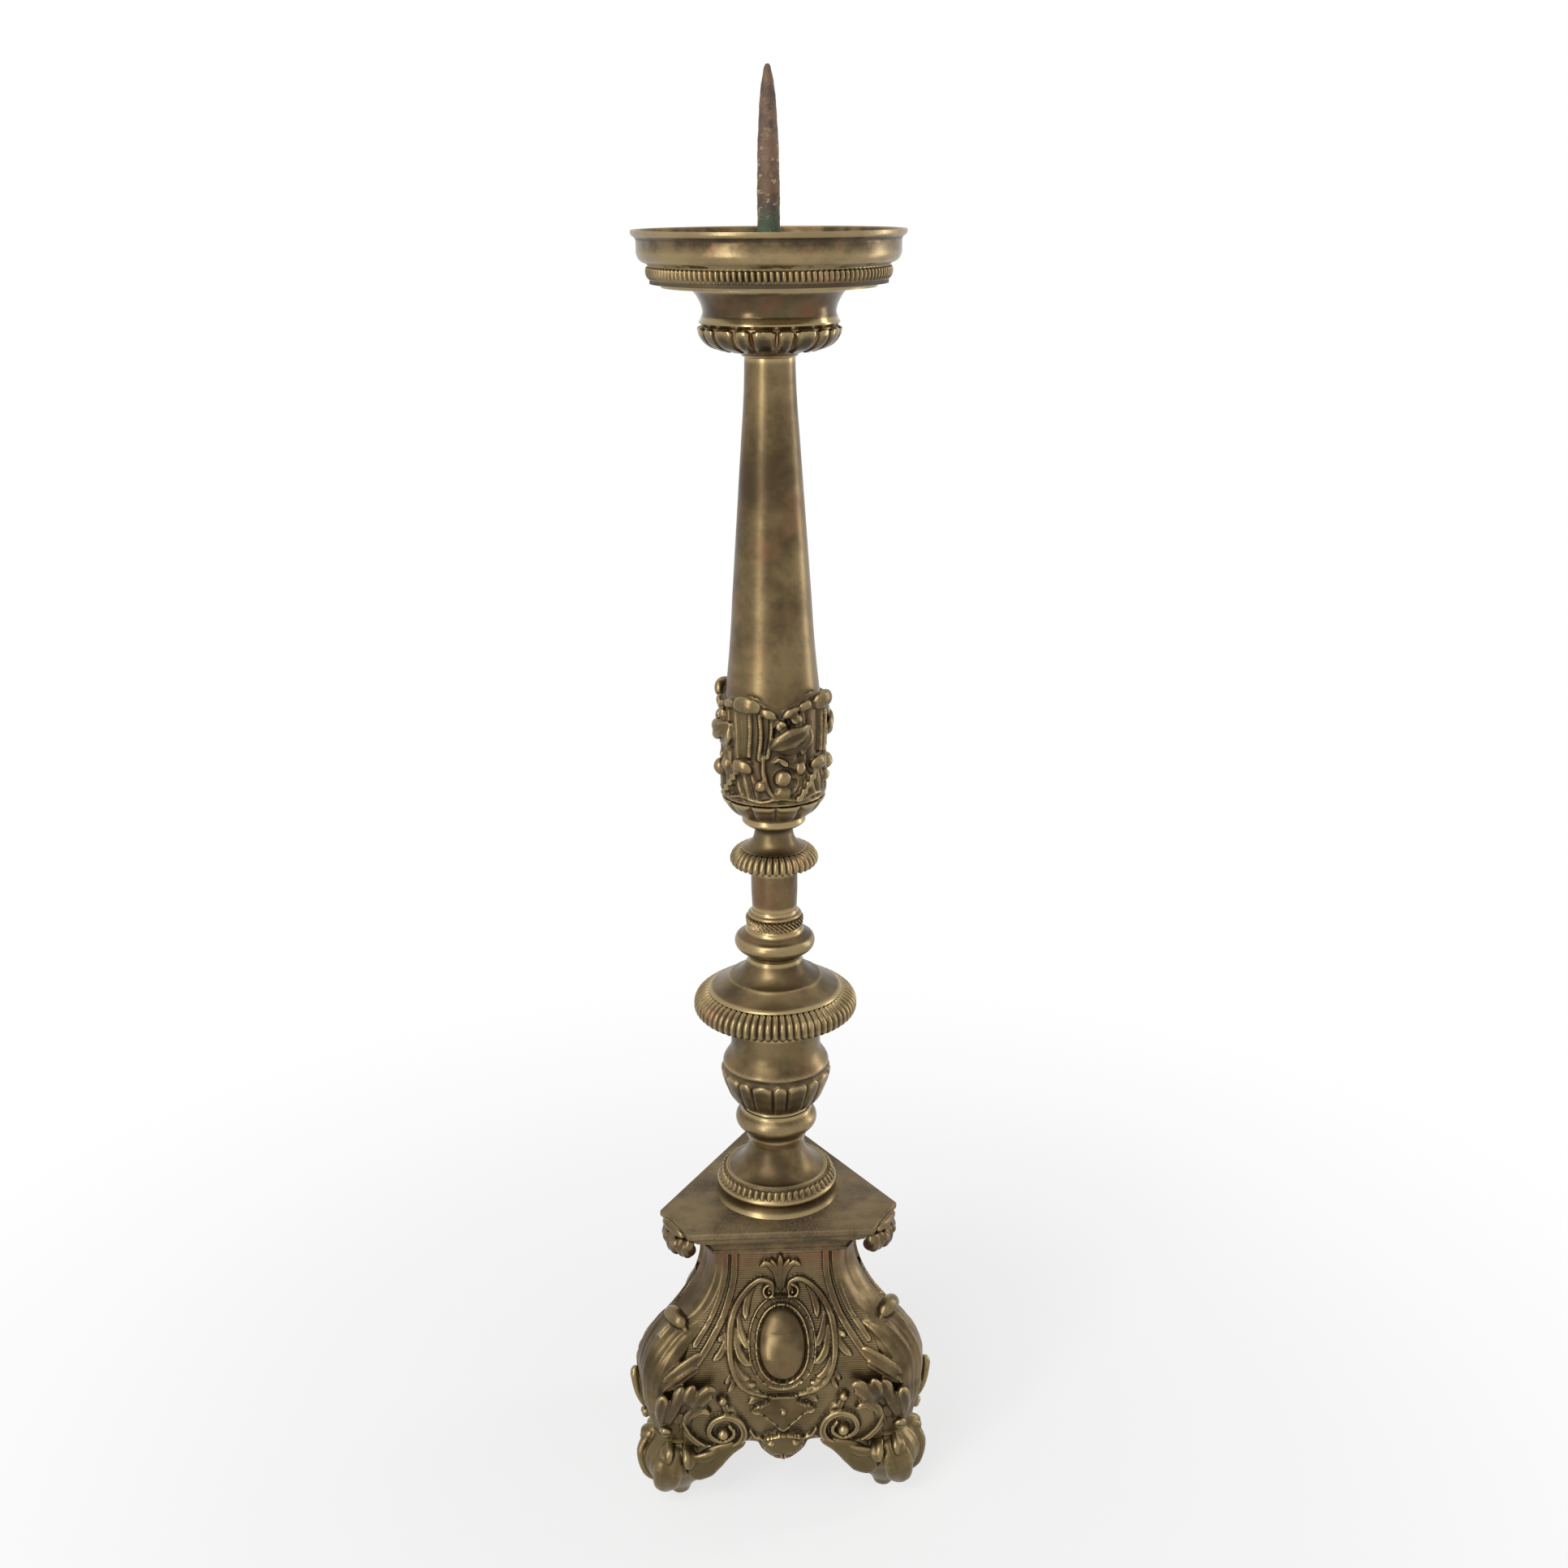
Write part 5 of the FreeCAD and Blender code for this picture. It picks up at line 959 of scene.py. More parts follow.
def carve_panel(field):
    """The ornament of a side panel: cabochon in a scrolled wreath, palmette, shield, shell and volutes."""
    straps = (([(24.6, 150), (25.2, 136), (27.6, 125), (32, 114), (38, 105), (46, 95)], 4.4, 2.1),
              ([(29.2, 150), (30, 136), (33.4, 124), (39, 113), (47, 103)], 3.4, 1.8))
    for line, width, rise in straps:
        for points in both_sides(line):
            field.band(flowing(in_mm(points)), width * MM, rise * MM, 0.3)
    field.band(in_mm([(-30, 149.4), (30, 149.4)]), 2.6 * MM, 1.6 * MM)
    # two scrolls that meet under the palmette and run down to the shield
    scroll = [(4.4, 127.6), (5.6, 131), (10.6, 132.7), (15.6, 130), (19.6, 126), (23.4, 121), (26.3, 115.4),
              (28, 109), (28.5, 102), (28.2, 96), (27, 90), (25.2, 85.4), (22.6, 81), (18, 77), (12.5, 74.6),
              (9.2, 73.6)]
    for points in both_sides(scroll):
        field.ridge(flowing(in_mm(points)), 4.8 * MM, 3.1 * MM, (0.7, 0.5), 0.3 * MM)
    for side in (-1.0, 1.0):
        field.scroll((side * 6.3 * MM, 126.2 * MM), 3.6 * MM, 1.1, math.pi / 2, -side, 2.2 * MM, 3.2 * MM,
                     1.3 * MM)
    for line, width, rise in WREATH_LOBES:
        for points in both_sides(line):
            field.lobe(flowing(in_mm(points)), width * MM, rise * MM)
    # cabochon in its ring and stepped oval frame
    oval = [(math.cos(turn), math.sin(turn)) for turn in np.linspace(0.0, math.tau, 73)]
    centre = np.array((0.0, 101.3))
    field.band(in_mm([centre + (16.5 * across, 21.2 * up) for across, up in oval]), 4.2 * MM, 1.3 * MM, 0.2)
    field.ridge(in_mm([centre + (18.0 * across, 22.9 * up) for across, up in oval]), 1.6 * MM, 2.3 * MM)
    for turn in np.arange(0.0, math.tau, math.tau / 20):
        away = np.array((math.cos(turn), math.sin(turn)))
        field.cut(in_mm([centre + away * (15.6, 20.2), centre + away * (17.2, 22.0)]), 0.9 * MM, 0.7 * MM)
    field.ridge(in_mm([centre + (14.1 * across, 18.8 * up) for across, up in oval]), 2.1 * MM, 3.8 * MM)
    field.dome(centre * MM, 13.2 * MM, 17.8 * MM, 7.4 * MM, 2.2)
    field.ridge(in_mm([(-8.5, 123.6), (8.5, 123.6)]), 1.8 * MM, 3.2 * MM)
    # shield with a knob
    half = np.interp(-field.up / MM, [-up for up, wide in SHIELD_HALF_WIDTH],
                     [wide for up, wide in SHIELD_HALF_WIDTH], left=-1.0, right=-1.0)
    plate = 2.3 * smooth_step((half - np.abs(field.across) / MM) / 1.2)
    field.height = np.maximum(field.height, plate * MM)
    for points in both_sides([(wide, up) for up, wide in SHIELD_HALF_WIDTH]):
        field.ridge(in_mm(points), 1.3 * MM, 3.0 * MM)
    field.dome((0.0, 64.3 * MM), 2.4 * MM, 2.4 * MM, 4.8 * MM)
    # volutes: a dished scroll that comes from the leg and winds round a knob
    winding = [(57, 68), (53.5, 55), (48.6, 46), (41.4, 39.4), (32.7, 37.8), (25, 41.6), (21.4, 50),
               (24, 58.4), (31, 61.8), (38, 59), (40.6, 52), (38, 46), (32.7, 43.8), (28, 46.8),
               (27, 51.6), (29.4, 55.4)]
    for points in both_sides(winding):
        field.ridge(flowing(in_mm(points)), 5.0 * MM, 4.4 * MM, (0.8, 0.5), 1.1 * MM)
    for side in (-1.0, 1.0):
        field.dome((side * 32.9 * MM, 50.4 * MM), 3.6 * MM, 3.6 * MM, 5.6 * MM)
        field.dome((side * 32.8 * MM, 72.4 * MM), 3.2 * MM, 3.0 * MM, 4.8 * MM)
        field.dome((side * 6.6 * MM, 43.4 * MM), 3.2 * MM, 2.6 * MM, 6.0 * MM)
    # scalloped apron and shell on the lower edge
    field.dome((0.0, 40.5 * MM), 12.0 * MM, 8.6 * MM, 4.4 * MM, 3.0)
    field.ridge(flowing(in_mm([(-9.6, 46.8), (0, 48.6), (9.6, 46.8)])), 2.0 * MM, 5.0 * MM)
    for points in both_sides([(18, 51), (15.2, 46), (11.8, 44.2), (9, 40.6)]):
        field.ridge(flowing(in_mm(points)), 2.4 * MM, 2.4 * MM)
    for line, width, rise in LOW_LOBES:
        for points in both_sides(line):
            field.lobe(flowing(in_mm(points)), width * MM, rise * MM, 0.3)


def build_panels():
    """One carved panel, copied to the three sides.

    Its places are told by a share across and a share up between its lower edge and the top of the base."""
    settings = bpy.context.scene.candle_stand.base
    columns = 225
    rows = 185
    side, rise = np.meshgrid(np.linspace(-1.0, 1.0, columns), np.linspace(0.0, 1.0, rows))
    lower_edge = flowing(in_mm([(0, 28.9), (3.5, 29.3), (7, 31.6), (11.5, 36), (14.5, 41), (22, 41.5),
                                (27, 38.8), (35, 37.8), (43, 39.5), (60, 40.2)]))
    # the lower edge and the width depend on each other, so the places are worked out twice
    across = side * 52.0 * MM
    for _ in range(2):
        foot = np.interp(np.abs(across), lower_edge[:, 0], lower_edge[:, 1])
        height = foot + (BASE_TOP - foot) * rise
        across = side * half_width_of_panel(height)
    field = Relief(across, height)
    carve_panel(field)
    carving = field.height * settings.relief * smooth_step((height - foot) / (2.5 * MM))
    reach = panel_reach_at(np.clip(height, PANEL_LOW, BASE_TOP))
    lean = np.gradient(reach[:, columns // 2], height[:, columns // 2])
    tilt = np.arctan(lean)[:, None]
    depth = reach + carving * np.cos(tilt) - 0.4 * MM
    up = height - carving * np.sin(tilt) * 0.6
    panel = sheet_piece(np.stack((depth, across, up), axis=-1))
    if mesh_normals(panel)[:, 0].mean() < 0.0:
        panel.data.flip_normals()
    mark_wear_and_shade(panel, 10, 0.5 * MM)
    write_values(panel, "chased", smooth_step(1.0 - field.height.ravel() / (0.5 * MM)))
    wall = panel.modifiers.new("wall", "SOLIDIFY")
    wall.thickness = settings.panel_wall
    wall.offset = -1.0
    bpy.ops.object.modifier_apply(modifier="wall")
    dress(panel, finish_named("panel_brass"), 60.0)
    three_copies(panel, "carved_panel", PANEL_BEARING, "base_panel")


def half_width_of_panel(height):
    """Where a panel meets the legs, as a distance from its middle."""
    reach = panel_reach_at(np.clip(height, PANEL_LOW, BASE_TOP))
    height = np.clip(height, LEG_LOW, BASE_TOP)
    width = leg_width_at(height) - PANEL_LAP
    face = leg_reach_at(height) - PANEL_COVER
    beside = (reach * math.sin(LEG_OFF_PANEL) - width) / math.cos(LEG_OFF_PANEL)
    within = (face - reach * math.cos(LEG_OFF_PANEL)) / math.sin(LEG_OFF_PANEL)
    return np.minimum(beside, within)


class CANDLESTAND_OT_panels(bpy.types.Operator):
    """Carve the three side panels of the base"""
    bl_idname = "candlestand.panels"
    bl_label = "Side panels"

    def execute(self, context):
        build_panels()
        return {"FINISHED"}


class LegForm:
    """The bare form of a leg, looking along +X, on which its leaves lie."""

    def __init__(self, columns=130, back_columns=14, rows=170):
        front_turn = np.linspace(-math.pi / 2, math.pi / 2, columns)
        height = np.linspace(LEG_LOW, BASE_TOP, rows)
        turn, self.height = np.meshgrid(front_turn, height)
        front = leg_reach_at(self.height)
        widening = np.interp(self.height, (102.0 * MM, 114.0 * MM), (0.0, 2.6 * MM))
        half = leg_width_at(self.height) + widening
        back = np.interp(self.height, (LEG_LOW, 139.0 * MM), (52.0 * MM, 34.0 * MM))
        boxy = np.interp(self.height, (70.0 * MM, 118.0 * MM), (0.8, 0.4))
        across = half * np.sign(np.sin(turn)) * np.abs(np.sin(turn)) ** boxy
        reach = back + (front - back) * np.abs(np.cos(turn)) ** boxy
        steps = np.hypot(np.diff(across, axis=1), np.diff(reach, axis=1))
        girth = np.concatenate((np.zeros((rows, 1)), np.cumsum(steps, axis=1)), axis=1)
        self.girth = girth - girth[:, columns // 2:columns // 2 + 1]
        self.points = np.stack((reach, across, self.height), axis=-1)
        normal = np.cross(np.gradient(self.points, axis=1), np.gradient(self.points, axis=0))
        self.normal = normal / (np.linalg.norm(normal, axis=-1, keepdims=True) + 1e-12)
        if self.normal[rows // 2, columns // 2, 0] < 0.0:
            self.normal = -self.normal
        self.back_columns = back_columns
        self.rows = rows

    def at(self, along, up, lift):
        """The place at a distance round from the front line, a height and a lift, with its direction out."""
        share = (up * MM - LEG_LOW) / LEG_HEIGHT
        row = int(np.clip(round(share * (self.rows - 1)), 0, self.rows - 1))
        line = self.girth[row]
        place = np.array([np.interp(along * MM, line, self.points[row, :, axis]) for axis in range(3)])
        out = np.array([np.interp(along * MM, line, self.normal[row, :, axis]) for axis in range(3)])
        return place / MM + out * lift, out

    def solid(self, heights):
        """The form with heights laid on it, closed over its back and its ends."""
        points = self.points + self.normal * heights[..., None]
        shares = np.linspace(0.0, 1.0, self.back_columns + 2)[1:]
        back = points[:, -1:, :] * (1.0 - shares[None, :, None]) + points[:, :1, :] * shares[None, :, None]
        whole = np.concatenate((points, back), axis=1)
        ends = [np.repeat(whole[row].mean(axis=0)[None, :], whole.shape[1], axis=0)[None] for row in (0, -1)]
        return sheet_piece(np.concatenate((ends[0], whole, ends[1]), axis=0))


def on_panel(across, up, lift):
    """A place on the panel beside a leg, told in the leg's own directions."""
    reach = panel_reach_at(np.clip(up * MM, PANEL_LOW, BASE_TOP)) / MM + lift
    out = np.array((math.cos(LEG_OFF_PANEL), math.sin(LEG_OFF_PANEL), 0.0))
    sideways = np.array((out[1], -out[0], 0.0))
    return out * reach + sideways * across + (0.0, 0.0, up), out


def leaf_on(form, stops, widths, thicknesses, vein, side):
    """A lobe along stops on a leg ("leg") or on the panel beside it ("panel")."""
    places = []
    outs = []
    for kind, across, up, lift in stops:
        place, out = form.at(across, up, lift) if kind == "leg" else on_panel(across, up, lift)
        places.append(place * (1.0, side, 1.0))
        outs.append(out * (1.0, side, 1.0))
    return bud(places, outs, widths, thicknesses, vein)


# Lobes of a leg's leaf: stops (on the leg: round from its middle, height, lift; on the panel beside it:
# across from the panel's middle, height, lift), widths and thicknesses, all in millimetres.
LEG_LEAVES = [
    ([("leg", 14, 84, 0), ("leg", 24, 92, 1.2), ("leg", 31, 96.5, 2.6), ("leg", 34, 96.5, 3)],
     (6, 8, 7, 4), (3, 4, 5, 4)),
    ([("leg", 14, 78, 0), ("leg", 24, 86, 1.2), ("leg", 30, 90.5, 2.8), ("leg", 32.5, 90.5, 3)],
     (5, 7, 6, 4), (3, 4, 4.5, 3.5)),
    ([("leg", 9, 54, 0), ("leg", 12, 65, 1.5), ("leg", 14, 74, 3), ("leg", 14.5, 78.5, 3.4)],
     (5, 7, 7.5, 5), (4, 5, 6, 5)),
    ([("leg", 12, 54, 0), ("leg", 19, 68, 2), ("leg", 23, 79, 3.8), ("leg", 24, 84.5, 4.4)],
     (5, 7, 8.5, 5.5), (4, 5, 6.5, 5)),
    ([("leg", 16, 54, 0), ("leg", 27, 69, 2.2), ("panel", 50.5, 79, 4.6), ("panel", 48, 86, 5.6)],
     (5, 8, 9, 5.5), (4, 6, 7, 5)),
    ([("leg", 18, 52, 0), ("leg", 30, 65, 2.4), ("panel", 46, 75.5, 5), ("panel", 39.5, 82, 6),
      ("panel", 36.5, 81, 5.6)],
     (6, 8.5, 10, 9, 4), (4, 6, 7, 6.5, 4)),
    ([("leg", 24, 50, 0), ("panel", 52, 63, 2), ("panel", 46, 70.5, 3.6), ("panel", 43, 71.5, 3.8)],
     (4, 5.5, 5.5, 4), (3.5, 4.5, 4.5, 3.5)),
    ([("leg", 7, 49.5, 0), ("leg", 10.5, 50.5, 1), ("leg", 14, 50, 0)],
     (5, 7, 5), (4, 6, 4)),
]


def build_legs():
    """One scroll leg clad with an acanthus leaf, copied to the three corners."""
    settings = bpy.context.scene.candle_stand.base
    form = LegForm()
    up = form.height
    fan = np.arctan2(form.girth, up - 20.0 * MM)
    leafy = smooth_step((114.0 * MM - up) / (5.0 * MM)) * smooth_step((up - 42.0 * MM) / (8.0 * MM))
    folds = 1.0 - np.abs(np.sin(fan * 13.0)) ** 1.5
    threads = np.cos(fan * 96.0 + 1.5 * np.sin(fan * 11.0) + 0.4 * np.sin(up / (9.0 * MM)))
    heights = leafy * (0.5 * folds + 0.2 * threads - 0.2) * MM
    middle = np.exp(-(form.girth / (3.5 * MM)) ** 2) * leafy * 0.8 * MM
    strap = Relief(form.girth, up)
    strap.band(in_mm([(0, 116), (0, 149.5)]), 11.0 * MM, 1.0 * MM, 0.3)
    edge = smooth_step(np.minimum(up - LEG_LOW, BASE_TOP - up) / (1.5 * MM))
    pieces = [form.solid((heights + middle + strap.height - 1.3 * MM) * edge)]
    for stops, widths, thicknesses in LEG_LEAVES:
        for side in (-1.0, 1.0):
            pieces.append(leaf_on(form, stops, widths, thicknesses, 0.4, side))
    # the curled tip on the shoulder: a roll that hangs over with its lip turned under
    shoulder = form.at(0, 113, 0)[0]
    out = np.array((0.8, 0.0, 0.6))
    roll = ((2.5, -9, -2.5), (2.5, -5, 0), (2.5, 0, 1), (2.5, 5, 0), (2.5, 9, -2.5))
    pieces.append(bud([shoulder + place for place in roll], out, (6, 9, 10, 9, 6), (5, 8, 9, 8, 5)))
    lip = ((-4, 0, -9), (1, 0, -3), (4, 0, 2), (5, 0, 3))
    out = (1, 0, 0.3)
    pieces.append(bud([shoulder + place for place in lip], out, (12, 14, 14, 10), (3, 4, 4, 3), 0.4))
    for side in (-1.0, 1.0):
        curl = ((-2, side * 5, -12), (1, side * 8, -6), (2, side * 9, -1))
        pieces.append(bud([shoulder + place for place in curl], out, (4, 5, 4), (3, 4, 4), 0.3))
    leg = fused(pieces, settings.carving_step)
    mark_wear_and_shade(leg, 18, 0.6 * MM)
    dress(leg, finish_named("cast_brass"), 70.0)
    three_copies(leg, "leaf_leg", LEG_BEARING, "leg")


class CANDLESTAND_OT_legs(bpy.types.Operator):
    """Make the three leaf-clad scroll legs"""
    bl_idname = "candlestand.legs"
    bl_label = "Legs"

    def execute(self, context):
        build_legs()
        return {"FINISHED"}


FOOT_CORE_SHARE = [(0.25, 0.0, 0), (0.34, 0.12, 0.1), (0.72, 0.46, 0.2), (0.8, 0.74, 0.25), (0.6, 1.0, 0)]
# Leaves of a foot round its middle: bearing from the leg's own direction, turn of the tip, then stops
# of reach and height, widths and thicknesses.
FOOT_LEAVES = [
    (0, 8, [(8, 38), (13, 35), (17.4, 27), (15.6, 17), (8, 8)], (8, 13, 15, 12, 7), (5, 6, 7, 7, 5)),
    (54, -26, [(8, 38), (15, 35), (19.6, 26), (16.6, 14.5), (7, 5)], (8, 14, 17, 15, 8), (5, 6, 8, 8, 6)),
    (104, 10, [(7, 36), (11, 31), (14, 22), (12, 14), (7, 8)], (7, 10, 12, 10, 6), (5, 6, 7, 6, 4)),
    (158, 0, [(7, 35), (10, 29), (12, 20), (10, 12), (6, 7)], (7, 10, 12, 9, 6), (5, 6, 6, 6, 4)),
    (30, 14, [(10, 37), (15, 38), (19.4, 35.5), (21, 31)], (6, 9, 9, 5), (4, 5, 6, 4)),
    (84, -12, [(10, 37), (16, 37), (21, 33.5), (21.4, 28)], (6, 9, 9, 5), (4, 5, 6, 4)),
    (26, 16, [(12, 20), (17, 17), (16, 12.5), (11, 10)], (4, 6, 6, 4), (4, 5, 5, 4)),
]
# Leaves over the panel's corners: across from the panel's middle, height and lift.
FOOT_APRON = ((20, 41, 0), (29, 38.5, 1), (38, 33, 1.5), (45, 26, 1), (51, 18, 0))
FOOT_KNOT = ((34, 38, 2), (42, 35, 3.5), (50, 34, 3))


class CANDLESTAND_OT_feet(bpy.types.Operator):
    """Model the feet from drooping leaves round a turned core"""
    bl_idname = "candlestand.feet"
    bl_label = "Feet"

    def execute(self, context):
        line = worn(even_line(real_outline(FOOT_CORE_SHARE, 20.0 * MM, 39.5 * MM), 1.0 * MM), 1)
        pieces = [spin_line(closed_ring(line, 2.7 * MM), 64, (FOOT_REACH, 0.0))]
        for bearing, twist, stops, widths, thicknesses in FOOT_LEAVES:
            for side in ((1.0,) if bearing == 0 else (-1.0, 1.0)):
                turn = math.radians(bearing * side)
                out = np.array((math.cos(turn), math.sin(turn), 0.25))
                places = []
                for share, (reach, up) in zip(np.linspace(0.0, 1.0, len(stops)), stops):
                    bent = turn + math.radians(twist * side * share)
                    places.append((FOOT_REACH / MM + reach * math.cos(bent), reach * math.sin(bent), up))
                pieces.append(bud(places, out, widths, thicknesses, 0.25))
        for side in (-1.0, 1.0):
            apron = [on_panel(*place)[0] * (1.0, side, 1.0) for place in FOOT_APRON]
            out = np.array((0.5, 0.87 * side, 0.0))
            pieces.append(bud(apron, out, (6, 9, 15, 17, 13), (4, 5, 6, 6, 5), 0.3))
            knot = [on_panel(*place)[0] * (1.0, side, 1.0) for place in FOOT_KNOT]
            pieces.append(bud(knot, out, (4, 7, 5), (4, 5, 4), 0.3))
        foot = fused(pieces, 0.65 * MM, 2)
        mark_wear_and_shade(foot, 22, 0.8 * MM)
        dress(foot, finish_named("cast_brass"), 70.0)
        three_copies(foot, "leaf_foot", LEG_BEARING, "foot")
        return {"FINISHED"}


# Lobes of a clasp, those on its middle line first: stops of reach, distance across and height, for the
# paired ones how far they look aside, then widths, thicknesses and depth of the vein.
CLASP_MIDDLE = [
    ([(58, 0, 164), (61.5, 0, 158), (58.5, 0, 152), (53, 0, 149.4)], (16, 19, 15, 8), (8, 11, 9, 6), 0.0),
    ([(65.6, -11, 166.4), (66.6, -6, 167.4), (66.8, 0, 167.2), (66.6, 6, 167.4), (65.6, 11, 166.4)],
     (4, 5, 5.5, 5, 4), (3.5, 4, 4.5, 4, 3.5), 0.0),
    ([(63, 0, 165), (67, 0, 160.5), (66.6, 0, 154.6), (61.5, 0, 150.6)], (7, 9, 8, 5), (4, 5, 5, 4), 0.4),
]
CLASP_SIDES = [
    ([(62, 7.4, 165), (65.8, 8.6, 160.4), (64, 7.8, 154.6), (59, 6, 151)],
     0.4, (7, 8.5, 8, 4), (4, 5, 5, 4), 0.35),
    ([(65, 4.2, 162.6), (67.6, 4.6, 160.4), (66.8, 4.2, 157.6)], 0.0, (3.5, 5, 3.5), (3.5, 4.5, 3.5), 0.0),
    ([(60, 10.4, 164.6), (63.4, 11.4, 161), (61, 10.4, 157)], 1.0, (5, 6, 4), (4, 5, 4), 0.0),
]


class CANDLESTAND_OT_clasps(bpy.types.Operator):
    """Model the leaf clasps under the corners of the plate"""
    bl_idname = "candlestand.clasps"
    bl_label = "Corner clasps"

    def execute(self, context):
        pieces = [bud(stops, (1.0, 0.0, 0.0), widths, thicknesses, vein)
                  for stops, widths, thicknesses, vein in CLASP_MIDDLE]
        for side in (-1.0, 1.0):
            for stops, aside, widths, thicknesses, vein in CLASP_SIDES:
                places = [(reach, side * across, up) for reach, across, up in stops]
                pieces.append(bud(places, (1.0, side * aside, 0.0), widths, thicknesses, vein))
        clasp = fused(pieces, 0.5 * MM)
        mark_wear_and_shade(clasp, 18, 0.7 * MM)
        dress(clasp, finish_named("leaf_brass"), 70.0)
        three_copies(clasp, "leaf_clasp", LEG_BEARING, "corner_clasp")
        return {"FINISHED"}


def three_sided(reach, half_side, height, steps):
    """Points round a triangle with its tips cut off, evenly along its three long and three short sides."""
    corners = []
    for number in range(SIDES):
        turn = number * SIDE_TURN
        for end in (-1.0, 1.0):
            corners.append((half_side * end * math.cos(turn) + reach * math.sin(turn),
                            half_side * end * math.sin(turn) - reach * math.cos(turn)))
    points = []
    for start, end in zip(corners, corners[1:] + corners[:1]):
        for share in np.linspace(0.0, 1.0, steps + 1)[:-1]:
            across, along = (first + (last - first) * share for first, last in zip(start, end))
            points.append((across, along, height))
    points.append(points[0])
    return np.array(points)


def stacked_piece(node, levels, bevel):
    """A three-sided piece built up from outlines one over another."""
    rows = [three_sided(reach * MM, half * MM, up * MM, 12) for reach, half, up in levels]
    first = np.repeat([[0.0, 0.0, rows[0][0][2]]], len(rows[0]), axis=0)
    last = np.repeat([[0.0, 0.0, rows[-1][0][2]]], len(rows[0]), axis=0)
    piece = sheet_piece(np.array([first] + rows + [last]))
    edge = piece.modifiers.new("edge", "BEVEL")
    edge.width = bevel
    edge.segments = 2
    edge.limit_method = "ANGLE"
    edge.angle_limit = math.radians(28.0)
    bpy.ops.object.modifier_apply(modifier="edge")
    write_values(piece, "wear_and_shade", np.full(len(piece.data.vertices), 0.5))
    dress(piece, finish_named("plate_brass"), 35.0)
    finish_piece(piece, node + "_cast", "stand", "plate_brass", node)


# Levels from below: reach of the long sides, half their length and height, all in millimetres.
BASE_PLATE_LEVELS = [
    (42.6, 45, 163), (43.6, 46, 163.2), (43.8, 46.2, 164.6), (44.6, 47.2, 165.6), (45.4, 48.2, 166.2),
    (46.1, 49, 166.6), (46.1, 49, 169.2), (45.6, 48.4, 170),
]
CORNICE_LEVELS = [
    (30.8, 33.6, 150), (33.4, 36.1, 150.2), (33.8, 36.5, 151.8), (32.8, 35.6, 152.4), (33.2, 36, 154.5),
    (34.6, 37.4, 157), (37.2, 39.8, 159), (39.4, 41.9, 159.8), (40.2, 42.7, 160.2), (40.2, 42.7, 161.4),
    (42.2, 44.6, 161.8), (42.6, 45, 163),
]


class CANDLESTAND_OT_plate(bpy.types.Operator):
    """Build up the base plate and the hollow moulding under it"""
    bl_idname = "candlestand.plate"
    bl_label = "Plate and cornice"

    def execute(self, context):
        stacked_piece("base_plate", BASE_PLATE_LEVELS, 0.4 * MM)
        stacked_piece("cornice", CORNICE_LEVELS, 0.25 * MM)
        return {"FINISHED"}


